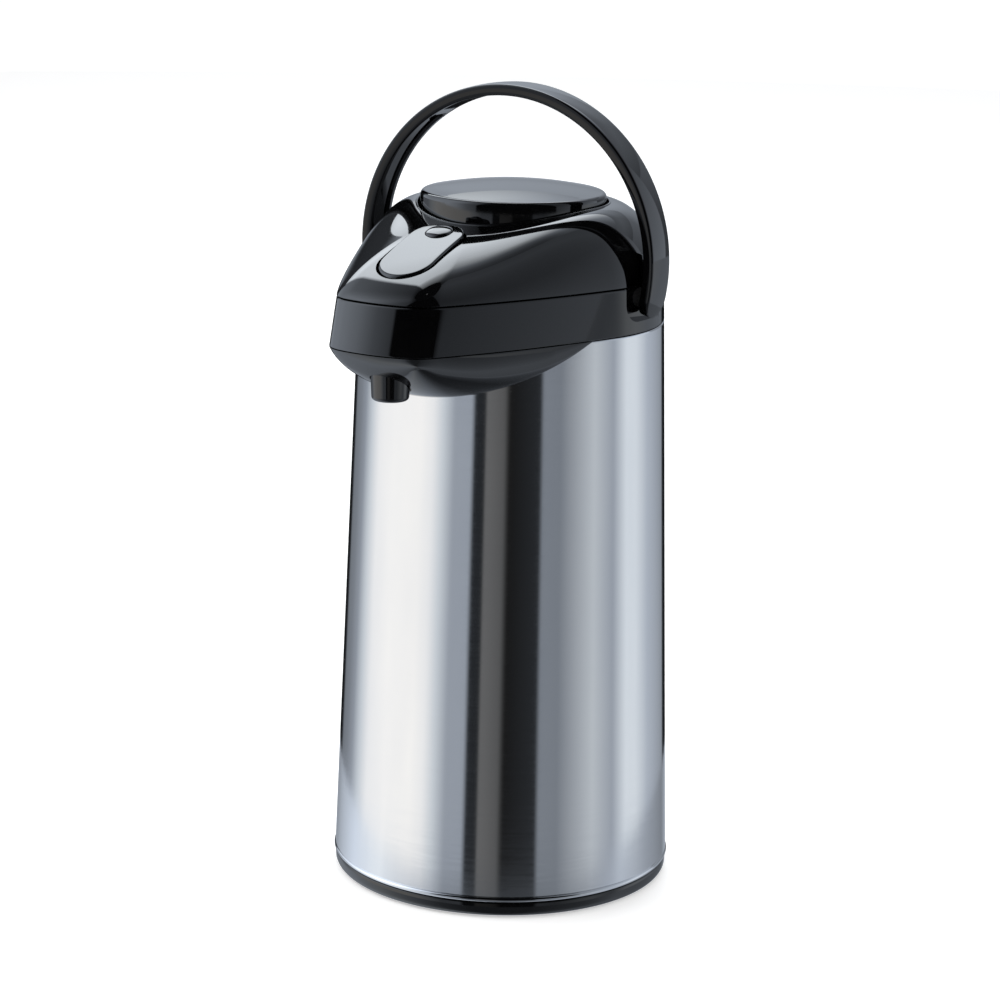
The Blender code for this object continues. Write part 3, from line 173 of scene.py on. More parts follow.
LATCH_BUTTON_FLANGE = 0.001
LATCH_BUTTON_RADIUS = 0.0067
LATCH_BUTTON_DOME = 0.0016

# Hoop handle
HOOP_CENTRE_Z = 0.3168
HOOP_OUTER_RADIUS = 0.0827
HOOP_THICKNESS = 0.0056
HOOP_WIDTH = 0.018
HOOP_EDGE = 0.001
HOOP_CROWN = 0.0006
HOOP_CHANNEL_WIDTH = 0.011
HOOP_CHANNEL_DEPTH = 0.0014
HOOP_CHANNEL_START = math.radians(34)
HOOP_STEPS = 150

# White that the camera sees in the floor besides its lit colour
FLOOR_WHITE = 0.45

# Camera, fitted to the photograph
CAMERA_TURN = math.radians(30)
CAMERA_DISTANCE = 1.5
CAMERA_HEIGHT = 0.555
CAMERA_PITCH = math.radians(13.65)
CAMERA_YAW = math.radians(-0.14)
CAMERA_ROLL = math.radians(1.13)
CAMERA_LENS = 110.66


def add_piece(name, bm, material, body, slot, *stands_for):
    """A finished mesh that rides on a CAD body in place of its CAD nodes."""
    bmesh.ops.recalc_face_normals(bm, faces=bm.faces)
    mesh = bpy.data.meshes.new(name)
    bm.to_mesh(mesh)
    bm.free()
    return set_piece(name, mesh, material, body, slot, *stands_for)


def set_piece(name, mesh, material, body, slot, *stands_for):
    mesh.shade_smooth()
    mesh.set_sharp_from_angle(angle=SHARP_ANGLE)
    mesh.materials.clear()
    mesh.materials.append(material)
    piece = bpy.data.objects.new(name, mesh)
    bpy.context.scene.collection.objects.link(piece)
    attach(piece, body)
    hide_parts(*stands_for)
    return piece


def turned(profile, centre=(0.0, 0.0), steps=ROUND_STEPS):
    """Mesh of a solid of revolution about a vertical axis."""
    bm = bmesh.new()
    points = [bm.verts.new((radius, 0, height)) for radius, height in profile]
    edges = [bm.edges.new((a, b)) for a, b in zip(points, points[1:])]
    if profile[0][0] > 0 or profile[-1][0] > 0:
        edges.append(bm.edges.new((points[-1], points[0])))
    spun = {"geom": points + edges, "axis": (0, 0, 1), "cent": (0, 0, 0), "steps": steps}
    bmesh.ops.spin(bm, angle=2 * math.pi, use_merge=True, **spun)
    bmesh.ops.remove_doubles(bm, verts=bm.verts, dist=1e-7)
    bmesh.ops.translate(bm, verts=bm.verts, vec=(*centre, 0))
    return bm


def skinned(rings, closed=False):
    """Mesh through rings of equal count: a closed loop of rings, or a run of rings with two flat ends."""
    bm = bmesh.new()
    loops = [[bm.verts.new(point) for point in ring] for ring in rings]
    pairs = list(zip(loops, loops[1:]))
    if closed:
        pairs.append((loops[-1], loops[0]))
    else:
        bm.faces.new(loops[0])
        bm.faces.new(loops[-1])
    for first, second in pairs:
        for i in range(len(first)):
            bm.faces.new((first[i - 1], first[i], second[i], second[i - 1]))
    bmesh.ops.recalc_face_normals(bm, faces=bm.faces)
    return bm


def plate(rings):
    """Solid through rings that close at both ends on one line."""
    bm = bmesh.new()
    loops = [[bm.verts.new(point) for point in ring] for ring in rings]
    for first, second in zip(loops, loops[1:]):
        for i in range(len(first)):
            bm.faces.new((first[i - 1], first[i], second[i], second[i - 1]))
    bmesh.ops.remove_doubles(bm, verts=bm.verts, dist=1e-6)
    return helper(bm)


def helper(bm):
    """A mesh used only to cut another one."""
    bmesh.ops.recalc_face_normals(bm, faces=bm.faces)
    mesh = bpy.data.meshes.new("helper")
    bm.to_mesh(mesh)
    bm.free()
    item = bpy.data.objects.new("helper", mesh)
    bpy.context.scene.collection.objects.link(item)
    return item


def worked(solid, steps):
    """Mesh of a solid after a run of (operation, other solid) steps. The solids are used up."""
    for operation, other in steps:
        modifier = solid.modifiers.new(operation.title(), "BOOLEAN")
        modifier.operation = operation
        modifier.solver = "EXACT"
        modifier.object = other
    depsgraph = bpy.context.evaluated_depsgraph_get()
    mesh = bpy.data.meshes.new_from_object(solid.evaluated_get(depsgraph))
    for item in [solid, *[other for _, other in steps]]:
        bpy.data.objects.remove(item, do_unlink=True)
    return mesh


def arc(centre, radius, start, end, steps):
    """Points of an arc as (radius, height), by the angle of its outward normal from level."""
    turns = [start + (end - start) * i / steps for i in range(steps + 1)]
    return [(centre[0] + radius * math.cos(turn), centre[1] + radius * math.sin(turn)) for turn in turns]


def shell_radius(z):
    share = (z - BASE_HEIGHT) / (SHELL_TOP_Z - BASE_HEIGHT)
    return SHELL_BOTTOM_RADIUS + (SHELL_TOP_RADIUS - SHELL_BOTTOM_RADIUS) * share


def head_outline(rear_radius, nose_reach, inset=0.0):
    """Plan of the head: blunt nose, two corners, bowed flanks and a round rear, as flowing arcs."""
    nose = Vector((0, NOSE_RADIUS - nose_reach))
    turn = Vector((math.sin(NOSE_HALF_ANGLE), -math.cos(NOSE_HALF_ANGLE)))
    corner = nose + turn * (NOSE_RADIUS - CORNER_RADIUS)
    from_rear = FLANK_RADIUS - rear_radius
    from_corner = FLANK_RADIUS - CORNER_RADIUS
    span = corner.length
    along = (from_rear**2 - from_corner**2 + span**2) / (2 * span)
    aside = math.sqrt(from_rear**2 - along**2)
    ahead = corner.normalized()
    flank = ahead * along + Vector((ahead.y, -ahead.x)) * aside
    corner_end = math.atan2(corner.x - flank.x, flank.y - corner.y)
    flank_end = math.atan2(-flank.x, flank.y)
    limits = (0, NOSE_HALF_ANGLE, corner_end, flank_end, math.pi)
    centres = (nose, corner, flank, Vector((0, 0)))
    radii = (NOSE_RADIUS, CORNER_RADIUS, FLANK_RADIUS, rear_radius)
    half = []
    for centre, radius, start, end, steps in zip(centres, radii, limits, limits[1:], ARC_STEPS):
        for i in range(steps):
            angle = start + (end - start) * i / steps
            half.append(centre + Vector((math.sin(angle), -math.cos(angle))) * (radius - inset))
    rear = Vector((0, rear_radius - inset))
    mirrored = [Vector((-point.x, point.y)) for point in half[:0:-1]]
    return half + [rear] + mirrored


def reach_along(outline, angle):
    """Distance from the axis to an outline, at an angle from the front."""
    heading = Vector((math.sin(angle), -math.cos(angle)))
    for i, end in enumerate(outline):
        start = outline[i - 1]
        edge = end - start
        turn = heading.x * edge.y - heading.y * edge.x
        if abs(turn) < 1e-12:
            continue
        distance = (start.x * edge.y - start.y * edge.x) / turn
        share = (start.x * heading.y - start.y * heading.x) / turn
        if distance > 0 and -1e-9 <= share <= 1 + 1e-9:
            return distance
    raise ValueError("the outline doesn't go round the axis")


def level(outline, z):
    return [(point.x, point.y, z) for point in outline]


LID_EDGE = head_outline(REAR_RADIUS_TOP, NOSE_REACH_TOP)


def rim_height(angle):
    return LID_RIM_Z - LID_RIM_FRONT_DROP * max(0, math.cos(angle)) ** 2


def lid_form(angle):
    """Exponents of the dome's fall from rim to seam: how late it starts and how round it ends."""
    front = max(0, math.cos(angle)) ** LID_FRONT_SPREAD
    return [side + (nose - side) * front for side, nose in zip(LID_SIDE_FORM, LID_FRONT_FORM)]


def lid_height(x, y):
    """Height of the lid's outer skin above a point of the plan."""
    angle = math.atan2(x, -y)
    edge = reach_along(LID_EDGE, angle)
    share = min(1, max(0, (math.hypot(x, y) - LID_RIM_RADIUS) / (edge - LID_RIM_RADIUS)))
    late, round_end = lid_form(angle)
    return SEAM_Z + (rim_height(angle) - SEAM_Z) * (1 - share**late) ** round_end


def lever_height(x, y):
    """Height the latch lever is laid at: on the lid at its front, standing off it towards the pump."""
    along = min(1, max(0, (y - LATCH_FRONT_Y) / (LATCH_REAR_Y - LATCH_FRONT_Y)))
    return lid_height(x, y) + LATCH_TAIL_RISE * along**2


def latch_pivot_z():
    return lid_height(0, LATCH_PIVOT_Y) - LATCH_PIVOT_DROP


def dome_ring(outline, turn, inner_radius, foot_z, lift=0.0):
    """One ring of the lid's dome, between the seam (turn 0) and the well (a quarter turn)."""
    ring = []
    for point in outline:
        angle = math.atan2(point.x, -point.y)
        late, round_end = lid_form(angle)
        share = max(0, math.cos(turn)) ** (2 / late)
        rise = math.sin(turn) ** (2 * round_end)
        radius = inner_radius + (point.length - inner_radius) * share
        top = rim_height(angle) + lift
        ring.append((*(point.normalized() * radius), foot_z + (top - foot_z) * rise))
    return ring


def build_body(steel, gloss):
    top = BASE_HEIGHT - GAP
    outer = SHELL_BOTTOM_RADIUS - GAP
    lip = SHELL_BOTTOM_RADIUS - SHELL_FLANGE - GAP
    floor_z = PAD_THICKNESS + GAP
    middle = (outer - BASE_EDGE_RADIUS, BASE_CLEARANCE + BASE_EDGE_RADIUS)
    cap = [(0, floor_z), (PAD_RADIUS + GAP, floor_z), (PAD_RADIUS + GAP, BASE_CLEARANCE)]
    cap += arc(middle, BASE_EDGE_RADIUS, -QUARTER, 0, 10)
    cap += arc((outer - SEAM_ROUND, top - SEAM_ROUND), SEAM_ROUND, 0, QUARTER, 4)
    cap += [(lip, top), (lip, top + SHELL_FLANGE), (0, top + SHELL_FLANGE)]
    add_piece("base_ring", turned(cap), gloss, "pot", "black_gloss", "base_cap")
    foot = SHELL_BOTTOM_RADIUS
    bead_z = BASE_HEIGHT + SHELL_BEAD_HEIGHT
    bead_radius = SHELL_BEAD_HEIGHT / 2
    middle = (foot + SHELL_BEAD - bead_radius, BASE_HEIGHT + bead_radius)
    skin = [(foot - SHELL_FLANGE, BASE_HEIGHT)]
    skin += arc(middle, bead_radius, -QUARTER, math.radians(72), 12)
    rows = 24
    low, high = bead_z + SHELL_BEAD, SHELL_TOP_Z - 2 * SHELL_BEAD
    for i in range(rows + 1):
        z = low + (high - low) * i / rows
        skin.append((shell_radius(z), z))
    skin += arc((shell_radius(high) - 2 * SHELL_BEAD, high), 2 * SHELL_BEAD, 0.1, QUARTER, 6)
    skin += [(SHELL_TOP_RADIUS - SHELL_FLANGE, SHELL_TOP_Z), (SHELL_TOP_RADIUS - SHELL_FLANGE, high)]
    inside = BASE_HEIGHT + SHELL_WALL
    skin += [(shell_radius(high) - 2 * SHELL_WALL, high - SHELL_WALL)]
    skin += [(shell_radius(inside) - 2 * SHELL_WALL, inside), (foot - SHELL_FLANGE, inside)]
    add_piece("steel_shell", turned(skin), steel, "pot", "steel", "outer_shell")


def pocket_cutter(side):
    """Recess for one leg of the handle."""
    outline = [(POCKET_REAR_Y, POCKET_LEDGE_Z), (POCKET_REAR_Y, LID_RIM_Z), (POCKET_FRONT_Y, LID_RIM_Z)]
    centre = (POCKET_FRONT_Y + POCKET_CORNER, POCKET_LEDGE_Z + POCKET_CORNER)
    outline += arc(centre, POCKET_CORNER, math.pi, 1.5 * math.pi, 16)
    leaning = [POCKET_FLOOR_X + POCKET_LEAN * (y - POCKET_FRONT_Y) for y, _ in outline]
    inner = [(side * x, *point) for x, point in zip(leaning, outline)]
    return helper(skinned([inner, [(side * 2 * SHELL_BOTTOM_RADIUS, *point) for point in outline]]))


def block(low, high):
    corners = [(low[0], low[1]), (high[0], low[1]), (high[0], high[1]), (low[0], high[1])]
    return helper(skinned([[(x, y, z) for x, y in corners] for z in (low[2], high[2])]))


def knuckles(spans, up):
    """Steps that clear a lid's or a collar's edge round the hinge, add the barrels and bore them."""
    room = HINGE_HALF + GAP
    steps = [("DIFFERENCE", cross_rod(HINGE_BARREL + HINGE_CLEARANCE, -room, room, HINGE_Y, SEAM_Z))]
    for start, end in spans:
        near = SEAM_Z + up * HINGE_CLEARANCE * 2
        far = SEAM_Z + up * HINGE_TAB_HEIGHT
        low = (start, HINGE_Y - HINGE_TAB_DEPTH, min(near, far))
        high = (end, HINGE_Y - HINGE_PIN / 4, max(near, far))
        barrel = cross_rod(HINGE_BARREL, start, end, HINGE_Y, SEAM_Z)
        steps += [("UNION", barrel), ("UNION", block(low, high))]
    return steps + [("DIFFERENCE", cross_rod(HINGE_PIN + GAP, -2 * room, 2 * room, HINGE_Y, SEAM_Z))]


def upright_rod(radius, y, low, high):
    return helper(turned([(0, low), (radius, low), (radius, high), (0, high)], (0, y), SMALL_STEPS))


def cross_rod(radius, start_x, end_x, y, z):
    turns = [2 * math.pi * i / SMALL_STEPS for i in range(SMALL_STEPS)]
    circle = [(y + radius * math.cos(turn), z + radius * math.sin(turn)) for turn in turns]
    return helper(skinned([[(x, *point) for point in circle] for x in (start_x, end_x)]))


def build_collar(gloss):
    """Band of the head, with softly rounded seam edges above and below."""
    bottom = SHELL_TOP_Z + GAP
    top = SEAM_Z - GAP
    foot = level(head_outline(SHELL_TOP_RADIUS, NOSE_REACH_BOTTOM), bottom)
    head = level(LID_EDGE, top)
    rings = []
    for i in range(4):
        turn = QUARTER * i / 4
        edge = head_outline(SHELL_TOP_RADIUS, NOSE_REACH_BOTTOM, SEAM_ROUND * (1 - math.sin(turn)))
        rings.append(level(edge, bottom + SEAM_ROUND * (1 - math.cos(turn))))
    for share in BAND_SHARES:
        rings.append([Vector(low).lerp(Vector(high), share) for low, high in zip(foot, head)])
    for i in range(1, 5):
        turn = QUARTER * i / 4
        edge = head_outline(REAR_RADIUS_TOP, NOSE_REACH_TOP, SEAM_ROUND * (1 - math.cos(turn)))
        rings.append(level(edge, top - SEAM_ROUND * (1 - math.sin(turn))))
    inner = head_outline(REAR_RADIUS_TOP, NOSE_REACH_TOP, COLLAR_WALL)
    rings += [level(inner, top), level(inner, COLLAR_FLOOR_TOP)]
    floor_z = COLLAR_FLOOR_TOP - COLLAR_FLOOR
    neck = [point.normalized() * COLLAR_NECK_RADIUS for point in inner]
    rings += [level(neck, COLLAR_FLOOR_TOP), level(neck, floor_z)]
    rim = head_outline(SHELL_TOP_RADIUS, NOSE_REACH_BOTTOM, COLLAR_RIM_WIDTH)
    rings += [level(rim, floor_z), level(rim, bottom)]
    steps = [("DIFFERENCE", upright_rod(SPOUT_BORE, SPOUT_Y, SPOUT_TOP_Z, TUBE_TOP_Z))]
    for side in (-1, 1):
        reach = (side * (POCKET_FLOOR_X - COLLAR_WALL), side * SHELL_BOTTOM_RADIUS)
        steps.append(("DIFFERENCE", pocket_cutter(side)))
        steps.append(("DIFFERENCE", cross_rod(PIVOT_HOLE, *reach, 0, PIVOT_Z)))
    ends = (HINGE_LID_HALF + GAP, HINGE_HALF)
    steps += knuckles([ends, (-ends[1], -ends[0])], -1)
    mesh = worked(helper(skinned(rings, closed=True)), steps)
    set_piece("head_band", mesh, gloss, "pot", "black_gloss", "collar")


def build_chin(gloss):
    edge = head_outline(SHELL_TOP_RADIUS, NOSE_REACH_BOTTOM)
    angles = [CHIN_HALF_ANGLE * (2 * i / (CHIN_COLUMNS - 1) - 1) for i in range(CHIN_COLUMNS)]
    reaches = [reach_along(edge, angle) for angle in angles]
    columns = []
    for i, angle in enumerate(angles):
        depth = CHIN_DEPTH * (1 + CHIN_SIDE_SHARE - abs(angle / CHIN_HALF_ANGLE) ** CHIN_FALL_POWER)
        reach = reaches[i]
        spread = min(CHIN_SOFT_SPAN, i, CHIN_COLUMNS - 1 - i)
        around = reaches[i - spread:i + spread + 1]
        soft_reach = sum(around) / len(around)
        wall = min(CHIN_WALL, 0.35 * (reach - SHELL_TOP_RADIUS), 0.35 * depth)
        near = shell_radius(SHELL_TOP_Z - depth) + GAP
        column = []
        for thickness, order in ((0, 1), (wall, -1)):
            for k in range(CHIN_ROWS + 1)[::order]:
                turn = QUARTER * k / CHIN_ROWS
                out = max(0, math.cos(turn)) ** (2 / CHIN_PROFILE_POWER)
                z = SHELL_TOP_Z - (depth - thickness) * math.sin(turn) ** (2 / CHIN_PROFILE_POWER)
                edge_reach = reach + (soft_reach - reach) * math.sin(turn)
                radius = near + (edge_reach - thickness - near) * out
                column.append((radius * math.sin(angle), -radius * math.cos(angle), z))
        columns.append(column)
    solid = helper(skinned(columns))
    mesh = worked(solid, [("DIFFERENCE", upright_rod(SPOUT_RADIUS, SPOUT_Y, SPOUT_TIP_Z, SPOUT_TOP_Z))])
    set_piece("beak_chin", mesh, gloss, "pot", "black_gloss", "beak_under_cover")
    nozzle = [(SPOUT_BORE, SPOUT_TOP_Z), (SPOUT_BORE, SPOUT_TIP_Z)]
    nozzle += arc((SPOUT_TIP_RADIUS - SPOUT_EDGE, SPOUT_TIP_Z + SPOUT_EDGE), SPOUT_EDGE, -QUARTER, 0, 8)
    nozzle.append((SPOUT_RADIUS, SPOUT_TOP_Z))
    add_piece("nozzle", turned(nozzle, (0, SPOUT_Y), 96), gloss, "pot", "black_gloss", "spout_nozzle")


def latch_plan(grow=0.0):
    """Plan of the latch lever: a bar with a half-round front end and a softly rounded rear end."""
    half = LATCH_HALF_WIDTH + grow
    front = LATCH_FRONT_Y + LATCH_HALF_WIDTH
    rear_radius = LATCH_HALF_WIDTH * LATCH_REAR_ROUND
    rear = LATCH_REAR_Y - rear_radius
    run = [front + (rear - front) * i / LATCH_SIDE_STEPS for i in range(1, LATCH_SIDE_STEPS)]
    plan = arc((0, front), half, math.pi, 2 * math.pi, 48)
    plan += [(half, y) for y in run]
    for side, start in ((1, 0), (-1, QUARTER)):
        centre = (side * (LATCH_HALF_WIDTH - rear_radius), rear)
        plan += arc(centre, rear_radius + grow, start, start + QUARTER, 16)
    return plan + [(-half, y) for y in run[::-1]]


def build_lid(gloss):
    foot_z = SEAM_Z + GAP
    rings = []
    for i in range(4):
        inset = SEAM_ROUND * (1 - math.sin(QUARTER * i / 4))
        z = foot_z + SEAM_ROUND * (1 - math.cos(QUARTER * i / 4))
        rings.append(level(head_outline(REAR_RADIUS_TOP, NOSE_REACH_TOP, inset), z))
    outer = LID_RIM_RADIUS + LID_LIP_WIDTH
    for i in range(LID_RINGS + 1):
        turn = QUARTER * (i + 3) / (LID_RINGS + 3)
        rings.append(dome_ring(LID_EDGE, turn, outer, foot_z))
    for i in range(1, 9):
        turn = math.pi * i / 8
        radius = outer - (outer - LID_WELL_RADIUS) * (1 - math.cos(turn)) / 2
        rings.append(dome_ring(LID_EDGE, QUARTER, radius, foot_z, LID_LIP_RISE * math.sin(turn)))
    rings.append([(*(point.normalized() * LID_WELL_RADIUS), LID_LIP_Z) for point in LID_EDGE])
    inner_edge = head_outline(REAR_RADIUS_TOP, NOSE_REACH_TOP, LID_WALL)
    shoulder = LID_WELL_RADIUS + 2 * LID_LIP_WIDTH
    rows = 10
    for i in range(rows + 1):
        turn = QUARTER * (1 - i / rows)
        share = max(0, math.cos(turn)) ** (2 / LID_INNER_POWER)
        z = foot_z + (LID_LIP_Z - foot_z) * max(0, math.sin(turn)) ** (2 / LID_INNER_POWER)
        reaches = [shoulder + (point.length - shoulder) * share for point in inner_edge]
        rings.append([(*(point.normalized() * reach), z) for point, reach in zip(inner_edge, reaches)])
    solid = helper(skinned(rings, closed=True))
    slot = latch_plan(LATCH_GROOVE)
    depths = (SEAM_Z - LID_WALL, LID_RIM_Z)
    groove = helper(skinned([[(*point, z) for point in slot] for z in depths]))
    steps = [("DIFFERENCE", pocket_cutter(-1)), ("DIFFERENCE", pocket_cutter(1)), ("DIFFERENCE", groove)]
    ear_start = LATCH_HALF_WIDTH + LATCH_GROOVE + 2 * GAP
    ear_end = ear_start + LATCH_EAR
    ear_top = lid_height(ear_start, LATCH_PIVOT_Y) - LATCH_DEPTH
    for side in (-1, 1):
        ends = sorted((side * ear_start, side * ear_end))
        low = (ends[0], LATCH_PIVOT_Y - LATCH_EAR, latch_pivot_z() - LATCH_EAR)
        steps.append(("UNION", block(low, (ends[1], LATCH_PIVOT_Y + LATCH_EAR, ear_top))))
    bore = cross_rod(LATCH_HOLE, -ear_end - GAP, ear_end + GAP, LATCH_PIVOT_Y, latch_pivot_z())
    steps += [("DIFFERENCE", bore)] + knuckles([(-HINGE_LID_HALF, HINGE_LID_HALF)], 1)
    set_piece("lid_shell", worked(solid, steps), gloss, "lid", "black_gloss", "lid_cover")


def build_pump(gloss):
    crease = PUMP_RADIUS - PUMP_EDGE
    crease_z = PUMP_TOP_Z - PUMP_DOME
    ball = (crease**2 + PUMP_DOME**2) / (2 * PUMP_DOME)
    skin = []
    for i in range(40):
        radius = crease * i / 40
        skin.append((radius, PUMP_TOP_Z - ball + math.sqrt(ball**2 - radius**2)))
    skin += arc((crease, crease_z - PUMP_EDGE), PUMP_EDGE, QUARTER - math.asin(crease / ball), 0, 16)
    inner = PUMP_RADIUS - PUMP_SKIRT_WALL
    ceiling = crease_z - PUMP_EDGE
    skin += [(PUMP_RADIUS, PUMP_SKIRT_Z), (inner, PUMP_SKIRT_Z), (inner, ceiling)]
    skin += [(PUMP_BOSS_RADIUS, ceiling), (PUMP_BOSS_RADIUS, PUMP_BOSS_Z), (0, PUMP_BOSS_Z)]
    add_piece("pump_cap", turned(skin), gloss, "pump", "black_gloss", "pump_button")


def build_bellows(rubber, wire):
    """Bellows and spring as a pressed pump leaves them, so that they stay under it at every height."""
    head = PUMP_TOP_Z - PUMP_DOME - PUMP_EDGE - PUMP_STROKE - 2 * GAP
    dish = PUMP_BOSS_RADIUS + 5 * GAP
    dish_z = PUMP_BOSS_Z - PUMP_STROKE - 2 * GAP
    pitch = (head - BELLOWS_FOOT_Z - BELLOWS_WALL) / (2 * BELLOWS_FOLDS)
    outside = []
    for i in range(2 * BELLOWS_FOLDS + 1):
        outside.append((BELLOWS_RADIUS - BELLOWS_FOLD * (i % 2), BELLOWS_FOOT_Z + pitch * i))
    inside = [(radius - BELLOWS_WALL, z) for radius, z in outside[::-1]]
    floor_z = dish_z - BELLOWS_WALL
    ceiling = head - BELLOWS_WALL
    skin = [(0, floor_z), (dish + BELLOWS_WALL, floor_z), (dish + BELLOWS_WALL, ceiling)] + inside + outside
    skin += [(BELLOWS_RADIUS, head), (dish, head), (dish, dish_z), (0, dish_z)]
    add_piece("bellows_folds", turned(skin, steps=SMALL_STEPS), rubber, "lid", "black_rubber", "bellows")
    low = BELLOWS_FOOT_Z + SPRING_WIRE + GAP
    high = ceiling - SPRING_WIRE - GAP
    steps = SPRING_TURNS * SMALL_STEPS
    coil = []
    for i in range(steps + 1):
        turn = 2 * math.pi * SPRING_TURNS * i / steps
        section = arc((SPRING_RADIUS, low + (high - low) * i / steps), SPRING_WIRE, 0, 1.75 * math.pi, 7)
        coil.append([(radius * math.cos(turn), radius * math.sin(turn), z) for radius, z in section])
    add_piece("spring_coil", skinned(coil), wire, "lid", "spring_steel", "pump_spring")


def build_latch(gloss):
    spine = (LATCH_FRONT_Y + LATCH_HALF_WIDTH, LATCH_REAR_Y - LATCH_HALF_WIDTH * LATCH_REAR_ROUND)

    def ring(inset, rise, share=1.0):
        points = []
        for x, y in latch_plan(-inset):
            near = min(max(y, spine[0]), spine[1])
            place = (x * share, near + (y - near) * share)
            points.append((*place, lever_height(*place) + rise))
        return points

    def post(y, half_length, foot_z):
        corners = [(-1, -1), (1, -1), (1, 1), (-1, 1)]
        plan = [(LATCH_WEB_HALF * side, y + half_length * end) for side, end in corners]
        top = [(*point, lever_height(*point)) for point in plan]
        return helper(skinned([[(*point, foot_z) for point in plan], top]))

    rings = [ring(LATCH_EDGE, -LATCH_DEPTH, i / 4) for i in range(4)] + [ring(0, -LATCH_DEPTH)]
    for i in range(7):
        turn = QUARTER * i / 6
        rings.append(ring(LATCH_EDGE * (1 - math.cos(turn)), LATCH_RISE - LATCH_EDGE * (1 - math.sin(turn))))
    rings += [ring(LATCH_EDGE, LATCH_RISE, 1 - i / LATCH_ROWS) for i in range(1, LATCH_ROWS + 1)]
    solid = plate(rings)
    step = LATCH_BUTTON_RADIUS
    slope = lever_height(0, LATCH_BUTTON_Y + step) - lever_height(0, LATCH_BUTTON_Y - step)
    seat = Matrix.Translation((0, LATCH_BUTTON_Y, lever_height(0, LATCH_BUTTON_Y)))
    seat = seat @ Matrix.Rotation(math.atan2(slope, 2 * step), 4, "X")
    depth = 3 * (LATCH_DEPTH + LATCH_RISE)
    hole_radius = LATCH_BUTTON_RADIUS + GAP
    well = turned([(0, -depth), (hole_radius, -depth), (hole_radius, depth), (0, depth)], steps=SMALL_STEPS)
    bmesh.ops.transform(well, matrix=seat, verts=well.verts)
    bore = cross_rod(LATCH_HOLE, -LATCH_HALF_WIDTH, LATCH_HALF_WIDTH, LATCH_PIVOT_Y, latch_pivot_z())
    web = post(LATCH_PIVOT_Y, LATCH_WEB_HALF, latch_pivot_z() - 2 * LATCH_HOLE)
    steps = [("UNION", web), ("UNION", post(LATCH_HOOK_Y, LATCH_HOOK_THICKNESS / 2, LATCH_HOOK_Z))]
    mesh = worked(solid, steps + [("DIFFERENCE", bore), ("DIFFERENCE", helper(well))])
    set_piece("latch_plate", mesh, gloss, "latch", "black_gloss", "latch_lever")
    cap = [(0, LATCH_RISE + LATCH_BUTTON_DOME)]
    for i in range(1, 17):
        turn = QUARTER * (1 - i / 16)
        cap.append((LATCH_BUTTON_RADIUS * math.cos(turn), LATCH_RISE + LATCH_BUTTON_DOME * math.sin(turn)))
    under = -LATCH_DEPTH - LATCH_EDGE - GAP
    brim = LATCH_BUTTON_RADIUS + LATCH_BUTTON_FLANGE
    cap += [(LATCH_BUTTON_RADIUS, under), (brim, under), (brim, under - LATCH_BUTTON_FLANGE)]
    cap.append((0, under - LATCH_BUTTON_FLANGE))
    button = turned(cap, steps=SMALL_STEPS)
    bmesh.ops.transform(button, matrix=seat, verts=button.verts)
    add_piece("latch_dot", button, gloss, "button", "black_gloss", "latch_button")


def hoop_section(half_width, depth):
    """Section of the hoop as (outward, along Y) points: crowned outside, channelled inside."""
    half = HOOP_THICKNESS / 2
    edge = min(HOOP_EDGE, half_width * 0.4)
    corner = arc((half - edge, half_width - edge), edge, QUARTER, 0, 5)
    crown = HOOP_CROWN * half_width / HOOP_WIDTH
    rows = 8
    outside = []
    for i in range(rows + 1):
        y = (half_width - edge) * (1 - i / rows)
        outside.append((half + crown * (1 - (y / (half_width - edge)) ** 2), y))
    right = corner[:-1] + outside
    side = right + [(out, -y) for out, y in right[-2::-1]]
    channel = half_width * HOOP_CHANNEL_WIDTH / HOOP_WIDTH
    inner = arc((edge - half, half_width - edge), edge, math.pi, QUARTER, 5)
    floor = [(depth - half, channel - edge * 0.3), (depth - half, channel), (-half, channel + edge * 0.6)]
    left = floor + inner[:-1]
    return side + [(out, -y) for out, y in left[::-1]] + left


def build_handle(gloss):
    """Hoop: one section swept round an arch, drawn to a round end below each pivot."""
    radius = HOOP_OUTER_RADIUS - HOOP_THICKNESS / 2
    half_width = HOOP_WIDTH / 2
    pivot_angle = -math.asin((HOOP_CENTRE_Z - PIVOT_Z) / radius)
    end_span = half_width / radius
    taper = 16
    angles = [pivot_angle - end_span * math.cos(QUARTER * (i + 0.2) / taper) for i in range(taper)]
    angles += [pivot_angle + (math.pi - 2 * pivot_angle) * i / HOOP_STEPS for i in range(HOOP_STEPS + 1)]
    angles += [math.pi - angle for angle in angles[taper - 1::-1]]
    rings = []
    for angle in angles:
        below = max(0, pivot_angle - angle, angle - math.pi + pivot_angle) * radius
        width = math.sqrt(max(0, half_width**2 - below**2))
        from_top = abs(angle - QUARTER)
        ramp = min(1, max(0, (from_top - HOOP_CHANNEL_START) / math.radians(3)))
        ring = []
        for out, y in hoop_section(width, HOOP_CHANNEL_DEPTH * ramp * width / half_width):
            reach = radius + out
            ring.append((reach * math.cos(angle), y, HOOP_CENTRE_Z + reach * math.sin(angle)))
        rings.append(ring)
    solid = helper(skinned(rings))
    steps = []
    for side in (-1, 1):
        reach = (side * POCKET_FLOOR_X, side * (radius - HOOP_THICKNESS / 4))
        steps.append(("DIFFERENCE", cross_rod(PIVOT_HOLE, *reach, 0, PIVOT_Z)))
    set_piece("hoop", worked(solid, steps), gloss, "handle", "black_gloss", "handle")


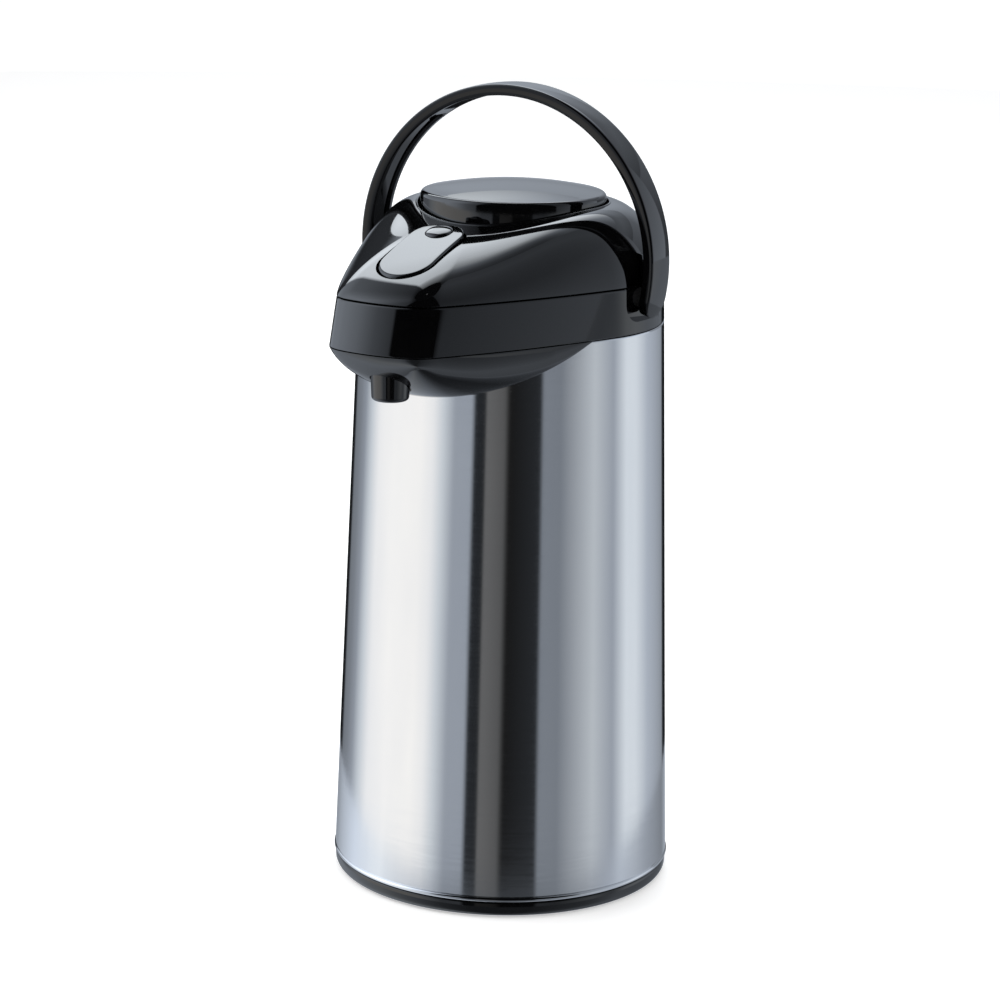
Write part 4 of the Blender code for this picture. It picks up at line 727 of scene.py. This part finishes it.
class Finish:
    """Node material with a Principled shader and small procedural changes of colour, gloss and relief."""

    def __init__(self, name, metallic=0.0, ior=1.5):
        self.material = bpy.data.materials.new(name)
        self.material.use_nodes = True
        self.tree = self.material.node_tree
        self.shader = self.tree.nodes["Principled BSDF"]
        self.shader.inputs["Metallic"].default_value = metallic
        self.shader.inputs["IOR"].default_value = ior
        self.place = self.tree.nodes.new("ShaderNodeTexCoord").outputs["Object"]

    def noise(self, scale, detail=4.0, stretch=(1, 1, 1)):
        mapping = self.tree.nodes.new("ShaderNodeMapping")
        mapping.inputs["Scale"].default_value = stretch
        texture = self.tree.nodes.new("ShaderNodeTexNoise")
        texture.inputs["Scale"].default_value = scale
        texture.inputs["Detail"].default_value = detail
        self.tree.links.new(self.place, mapping.inputs["Vector"])
        self.tree.links.new(mapping.outputs["Vector"], texture.inputs["Vector"])
        return texture.outputs["Fac"]

    def colour(self, fac, dark, light):
        ramp = self.tree.nodes.new("ShaderNodeValToRGB")
        ramp.color_ramp.elements[0].position = 0.3
        ramp.color_ramp.elements[1].position = 0.7
        ramp.color_ramp.elements[0].color = (*dark, 1)
        ramp.color_ramp.elements[1].color = (*light, 1)
        self.tree.links.new(fac, ramp.inputs["Fac"])
        self.tree.links.new(ramp.outputs["Color"], self.shader.inputs["Base Color"])

    def roughness(self, fac, low, high):
        spread = self.tree.nodes.new("ShaderNodeMapRange")
        spread.inputs["From Min"].default_value = 0.3
        spread.inputs["From Max"].default_value = 0.7
        spread.inputs["To Min"].default_value = low
        spread.inputs["To Max"].default_value = high
        self.tree.links.new(fac, spread.inputs["Value"])
        self.tree.links.new(spread.outputs["Result"], self.shader.inputs["Roughness"])

    def relief(self, fac, depth):
        bump = self.tree.nodes.new("ShaderNodeBump")
        bump.inputs["Strength"].default_value = 1.0
        bump.inputs["Distance"].default_value = depth
        self.tree.links.new(fac, bump.inputs["Height"])
        self.tree.links.new(bump.outputs["Normal"], self.shader.inputs["Normal"])

    def paint_shade_on_y_faces(self):
        """Painted shade: less sheen on the faces that look along Y, so that they reflect darker."""
        split = self.tree.nodes.new("ShaderNodeSeparateXYZ")
        size = self.tree.nodes.new("ShaderNodeMath")
        size.operation = "ABSOLUTE"
        sheen = self.tree.nodes.new("ShaderNodeMapRange")
        sheen.inputs["From Min"].default_value = 0.85
        sheen.inputs["From Max"].default_value = 0.97
        sheen.inputs["To Min"].default_value = 0.5
        sheen.inputs["To Max"].default_value = 0.22
        facing = self.tree.nodes.new("ShaderNodeTexCoord").outputs["Normal"]
        self.tree.links.new(facing, split.inputs["Vector"])
        self.tree.links.new(split.outputs["Y"], size.inputs[0])
        self.tree.links.new(size.outputs[0], sheen.inputs["Value"])
        self.tree.links.new(sheen.outputs["Result"], self.shader.inputs["Specular IOR Level"])


def make_finishes():
    steel = Finish("satin_steel", metallic=1.0)
    steel.colour(steel.noise(40, 3, (1, 1, 0.2)), (0.66, 0.67, 0.69), (0.7, 0.705, 0.715))
    steel.roughness(steel.noise(900, 2, (0.05, 0.05, 1)), 0.07, 0.1)
    gloss = Finish("black_gloss", ior=1.6)
    gloss.colour(gloss.noise(60), (0.0012, 0.0012, 0.0014), (0.002, 0.002, 0.0023))
    gloss.roughness(gloss.noise(220), 0.03, 0.045)
    # The handle's black gloss with painted shade: its faces that look along Y reflect less than the rest.
    handle_painted_shade = Finish("handle_gloss_painted_shade", ior=1.6)
    handle_painted_shade.colour(handle_painted_shade.noise(60), (0.0012, 0.0012, 0.0014), (0.002, 0.002, 0.0023))
    handle_painted_shade.roughness(handle_painted_shade.noise(220), 0.03, 0.045)
    handle_painted_shade.paint_shade_on_y_faces()
    plastic = Finish("black_plastic")
    plastic.colour(plastic.noise(120), (0.014, 0.014, 0.015), (0.022, 0.022, 0.023))
    plastic.roughness(plastic.noise(400), 0.38, 0.5)
    rubber = Finish("black_rubber")
    rubber.colour(rubber.noise(150), (0.018, 0.018, 0.018), (0.03, 0.03, 0.03))
    rubber.roughness(rubber.noise(500), 0.7, 0.85)
    rubber.relief(rubber.noise(1200), 0.00005)
    glass = Finish("silvered_glass", metallic=1.0)
    glass.colour(glass.noise(20), (0.8, 0.82, 0.83), (0.88, 0.89, 0.9))
    glass.roughness(glass.noise(80), 0.04, 0.08)
    tube = Finish("milky_tube")
    tube.colour(tube.noise(60), (0.7, 0.71, 0.7), (0.78, 0.79, 0.78))
    tube.roughness(tube.noise(200), 0.3, 0.38)
    wire = Finish("spring_wire", metallic=1.0)
    wire.colour(wire.noise(300), (0.5, 0.5, 0.5), (0.6, 0.6, 0.6))
    wire.roughness(wire.noise(900), 0.2, 0.3)
    return {
        "steel": steel.material,
        "black_gloss": gloss.material,
        "handle_painted_shade": handle_painted_shade.material,
        "black_plastic": plastic.material,
        "black_rubber": rubber.material,
        "silvered_glass": glass.material,
        "clear_tube": tube.material,
        "spring_steel": wire.material,
    }


def ramp_of(tree, fac, stops, limits, peak):
    """Colour ramp over the (degrees, radiance, tint) stops of a card."""
    ramp = tree.nodes.new("ShaderNodeValToRGB")
    elements = ramp.color_ramp.elements
    for i, (degrees, radiance, tint) in enumerate(stops):
        share = (degrees - limits[0]) / (limits[1] - limits[0])
        element = elements[i] if i < 2 else elements.new(share)
        element.position = share
        element.color = (*[channel * radiance / peak for channel in tint], 1)
    tree.links.new(fac, ramp.inputs["Fac"])
    return ramp.outputs["Color"]


def card(name, across, upward):
    """Curved studio card, far out round the pot, that only reflections see.

    across holds (azimuth from the camera, radiance, tint) stops, upward (elevation, share) stops, in degrees.
    """
    distance = 4.0
    columns, rows = 48, 24
    azimuths = (across[0][0], across[-1][0])
    elevations = (upward[0][0], upward[-1][0])
    bm = bmesh.new()
    grid = []
    for i in range(columns + 1):
        azimuth = CAMERA_TURN + math.radians(azimuths[0] + (azimuths[1] - azimuths[0]) * i / columns)
        grid.append([])
        for k in range(rows + 1):
            elevation = math.radians(elevations[0] + (elevations[1] - elevations[0]) * k / rows)
            flat = distance * math.cos(elevation)
            height = SEAM_Z + distance * math.sin(elevation)
            grid[-1].append(bm.verts.new((flat * math.sin(azimuth), -flat * math.cos(azimuth), height)))
    uv = bm.loops.layers.uv.new("card")
    for i in range(columns):
        for k in range(rows):
            corners = ((i, k), (i + 1, k), (i + 1, k + 1), (i, k + 1))
            face = bm.faces.new([grid[a][b] for a, b in corners])
            for loop, (a, b) in zip(face.loops, corners):
                loop[uv].uv = (a / columns, b / rows)
    mesh = bpy.data.meshes.new(name)
    bm.to_mesh(mesh)
    bm.free()
    material = bpy.data.materials.new(name)
    material.use_nodes = True
    tree = material.node_tree
    tree.nodes.clear()
    place = tree.nodes.new("ShaderNodeUVMap")
    split = tree.nodes.new("ShaderNodeSeparateXYZ")
    tree.links.new(place.outputs["UV"], split.inputs["Vector"])
    peak = max(radiance for _, radiance, _ in across)
    tint = ramp_of(tree, split.outputs["X"], across, azimuths, peak)
    fall = ramp_of(tree, split.outputs["Y"], [(*stop, WHITE) for stop in upward], elevations, 1.0)
    both = tree.nodes.new("ShaderNodeVectorMath")
    both.operation = "MULTIPLY"
    lamp = tree.nodes.new("ShaderNodeEmission")
    lamp.inputs["Strength"].default_value = peak
    out = tree.nodes.new("ShaderNodeOutputMaterial")
    tree.links.new(tint, both.inputs[0])
    tree.links.new(fall, both.inputs[1])
    tree.links.new(both.outputs["Vector"], lamp.inputs["Color"])
    tree.links.new(lamp.outputs["Emission"], out.inputs["Surface"])
    mesh.materials.append(material)
    item = bpy.data.objects.new(name, mesh)
    bpy.context.scene.collection.objects.link(item)
    item.visible_camera = False
    item.visible_diffuse = False
    item.visible_transmission = False
    item.visible_shadow = False


WHITE = (1.0, 1.0, 1.0)
CREAM = (1.0, 0.985, 0.96)
PALE = (0.88, 0.94, 1.0)
COOL = (0.8, 0.88, 1.0)


def seen_directly(tree):
    """1 on the rays that look at a background straight, in a mirror or through glass, and 0 elsewhere."""
    path = tree.nodes.new("ShaderNodeLightPath")
    mirrored = tree.nodes.new("ShaderNodeMath")
    through = tree.nodes.new("ShaderNodeMath")
    mirrored.operation = through.operation = "MAXIMUM"
    tree.links.new(path.outputs["Is Camera Ray"], mirrored.inputs[0])
    tree.links.new(path.outputs["Is Glossy Ray"], mirrored.inputs[1])
    tree.links.new(mirrored.outputs[0], through.inputs[0])
    tree.links.new(path.outputs["Is Transmission Ray"], through.inputs[1])
    return through.outputs[0]


def light_studio():
    world = bpy.data.worlds.new("studio")
    bpy.context.scene.world = world
    world.use_nodes = True
    tree = world.node_tree
    back = tree.nodes["Background"]
    back.inputs["Color"].default_value = (1, 1, 1, 1)
    dim = tree.nodes.new("ShaderNodeMapRange")
    dim.inputs["To Min"].default_value = 0.6
    dim.inputs["To Max"].default_value = 1.0
    tree.links.new(seen_directly(tree), dim.inputs["Value"])
    tree.links.new(dim.outputs["Result"], back.inputs["Strength"])
    eye_level = (
        (-180, 0.015, COOL), (-156, 0.015, COOL), (-152, 0.24, COOL), (-140, 0.32, COOL), (-130, 0.46, COOL),
        (-119, 0.9, PALE), (-108, 1.18, WHITE), (-90, 1.31, CREAM), (-66, 1.28, CREAM), (-56, 1.16, WHITE),
        (-48, 0.9, PALE), (-39, 0.52, COOL), (-26, 0.52, COOL), (-24.5, 0.03, COOL), (-17, 0.03, COOL),
        (-15.5, 0.18, WHITE), (-3, 0.13, WHITE), (0.5, 0.013, WHITE), (23, 0.035, COOL), (25, 0.34, COOL),
        (38, 0.32, COOL), (65, 0.75, PALE), (82, 0.53, COOL), (95, 1.04, PALE), (106, 1.02, PALE),
        (122, 0.7, COOL), (152, 0.38, COOL), (155, 0.015, COOL), (180, 0.015, COOL),
    )
    card("card_level", eye_level, ((-21, 1), (-6, 1)))
    table = (
        (-180, 0.5, COOL), (-160, 0.4, COOL), (-120, 1.1, COOL), (-90, 1.2, PALE), (-60, 0.72, COOL),
        (-40, 0.3, COOL), (-20, 0.14, COOL), (20, 0.14, COOL), (60, 0.38, COOL), (90, 0.75, COOL),
        (120, 0.5, COOL), (150, 0.3, COOL), (165, 0.5, COOL), (180, 0.5, COOL),
    )
    card("card_table", table, ((-89, 1), (-21, 1)))
    left = ((-146, 0.9, COOL), (-126, 1.3, COOL), (-104, 2.1, COOL), (-86, 2.35, COOL), (-74, 1.9, COOL),
            (-60, 1.0, COOL), (-47, 0.55, COOL), (-45, 0.003, COOL))
    card("card_left", left, ((-6, 1), (38, 1), (50, 0.75), (58, 0.5), (75, 0.05)))
    card("card_front", ((-45, 0.003, COOL), (53, 0.003, COOL)), ((-6, 1), (75, 1)))
    right = ((53, 0.003, COOL), (55, 0.4, COOL), (80, 0.75, COOL), (105, 1.1, COOL), (125, 1.0, COOL))
    card("card_right", right, ((-6, 1), (12, 0.85), (40, 0.5), (66, 0.45), (75, 0.35)))
    low = ((125, 0.6, COOL), (150, 0.55, COOL), (165, 0.95, COOL), (185, 1.2, COOL), (192, 0.7, COOL),
           (195, 0.1, COOL), (214, 0.1, COOL))
    card("card_back_low", low, ((-6, 0.45), (5, 0.45), (14, 0.75), (22, 1)))
    middle = ((125, 0.6, COOL), (150, 0.6, COOL), (165, 1.0, COOL), (175, 1.6, COOL), (185, 2.6, PALE),
              (195, 4.2, PALE), (211, 4.6, PALE), (214, 0.9, COOL))
    card("card_back_middle", middle, ((22, 0.6), (30, 1), (36, 1)))
    high = ((125, 0.6, COOL), (137, 0.85, COOL), (150, 1.5, COOL), (160, 2.8, PALE), (168, 4.4, PALE),
            (175, 5.0, PALE), (211, 5.4, PALE), (214, 0.9, COOL))
    card("card_back_high", high, ((36, 0.8), (45, 1), (64, 1), (68, 0.5), (75, 0.15)))
    card("card_top", ((-180, 0.01, COOL), (180, 0.01, COOL)), ((75, 1), (89, 1)))
    lamps = (
        ("key", (-1.6, -1.2, 2.2), 1.6, 26),
        ("fill", (1.8, -1.0, 1.6), 1.6, 10),
        ("back", (-0.6, 1.8, 2.0), 1.4, 14),
    )
    for name, place, size, power in lamps:
        lamp = bpy.data.lights.new(name, "AREA")
        lamp.size = size
        lamp.energy = power
        item = bpy.data.objects.new(name, lamp)
        item.location = place
        item.rotation_euler = (Vector((0, 0, 0.2)) - Vector(place)).to_track_quat("-Z", "Y").to_euler()
        item.visible_glossy = False
        bpy.context.scene.collection.objects.link(item)


def lay_floor():
    """Pale floor, white where the camera sees it lit, with the pot's soft shadow."""
    bm = bmesh.new()
    bmesh.ops.create_grid(bm, x_segments=1, y_segments=1, size=6)
    mesh = bpy.data.meshes.new("floor")
    bm.to_mesh(mesh)
    bm.free()
    material = bpy.data.materials.new("floor")
    material.use_nodes = True
    tree = material.node_tree
    shader = tree.nodes["Principled BSDF"]
    shader.inputs["Base Color"].default_value = (0.9, 0.9, 0.9, 1)
    shader.inputs["Roughness"].default_value = 0.6
    white = tree.nodes.new("ShaderNodeEmission")
    share = tree.nodes.new("ShaderNodeMath")
    share.operation = "MULTIPLY"
    share.inputs[1].default_value = FLOOR_WHITE
    both = tree.nodes.new("ShaderNodeAddShader")
    tree.links.new(seen_directly(tree), share.inputs[0])
    tree.links.new(share.outputs[0], white.inputs["Strength"])
    tree.links.new(shader.outputs["BSDF"], both.inputs[0])
    tree.links.new(white.outputs["Emission"], both.inputs[1])
    tree.links.new(both.outputs["Shader"], tree.nodes["Material Output"].inputs["Surface"])
    mesh.materials.append(material)
    floor = bpy.data.objects.new("floor", mesh)
    bpy.context.scene.collection.objects.link(floor)
    floor.visible_glossy = False


def set_camera():
    forward = Vector((math.sin(CAMERA_YAW), math.cos(CAMERA_YAW), 0)) * math.cos(CAMERA_PITCH)
    forward.z = -math.sin(CAMERA_PITCH)
    right = Vector((math.cos(CAMERA_YAW), -math.sin(CAMERA_YAW), 0))
    up = right.cross(forward)
    rolled_right = right * math.cos(CAMERA_ROLL) + up * math.sin(CAMERA_ROLL)
    rolled_up = up * math.cos(CAMERA_ROLL) - right * math.sin(CAMERA_ROLL)
    turn = Matrix((rolled_right, rolled_up, -forward)).transposed().to_4x4()
    data = bpy.data.cameras.new("camera")
    data.lens = CAMERA_LENS
    data.sensor_width = 36
    camera = bpy.data.objects.new("camera", data)
    place = Matrix.Translation((0, -CAMERA_DISTANCE, CAMERA_HEIGHT))
    camera.matrix_world = Matrix.Rotation(CAMERA_TURN, 4, "Z") @ place @ turn
    bpy.context.scene.collection.objects.link(camera)
    bpy.context.scene.camera = camera


finishes = make_finishes()
for part in frame["record"]["subparts"]:
    mesh = nodes[part["node"]].data
    mesh.materials.clear()
    mesh.materials.append(finishes[part["material_slot"]])
build_body(finishes["steel"], finishes["black_gloss"])
build_collar(finishes["black_gloss"])
build_chin(finishes["black_gloss"])
build_lid(finishes["black_gloss"])
build_pump(finishes["black_gloss"])
build_bellows(finishes["black_rubber"], finishes["spring_steel"])
build_latch(finishes["black_gloss"])
build_handle(finishes["handle_painted_shade"])
light_studio()
lay_floor()
set_camera()
bpy.context.scene.view_settings.view_transform = "Standard"
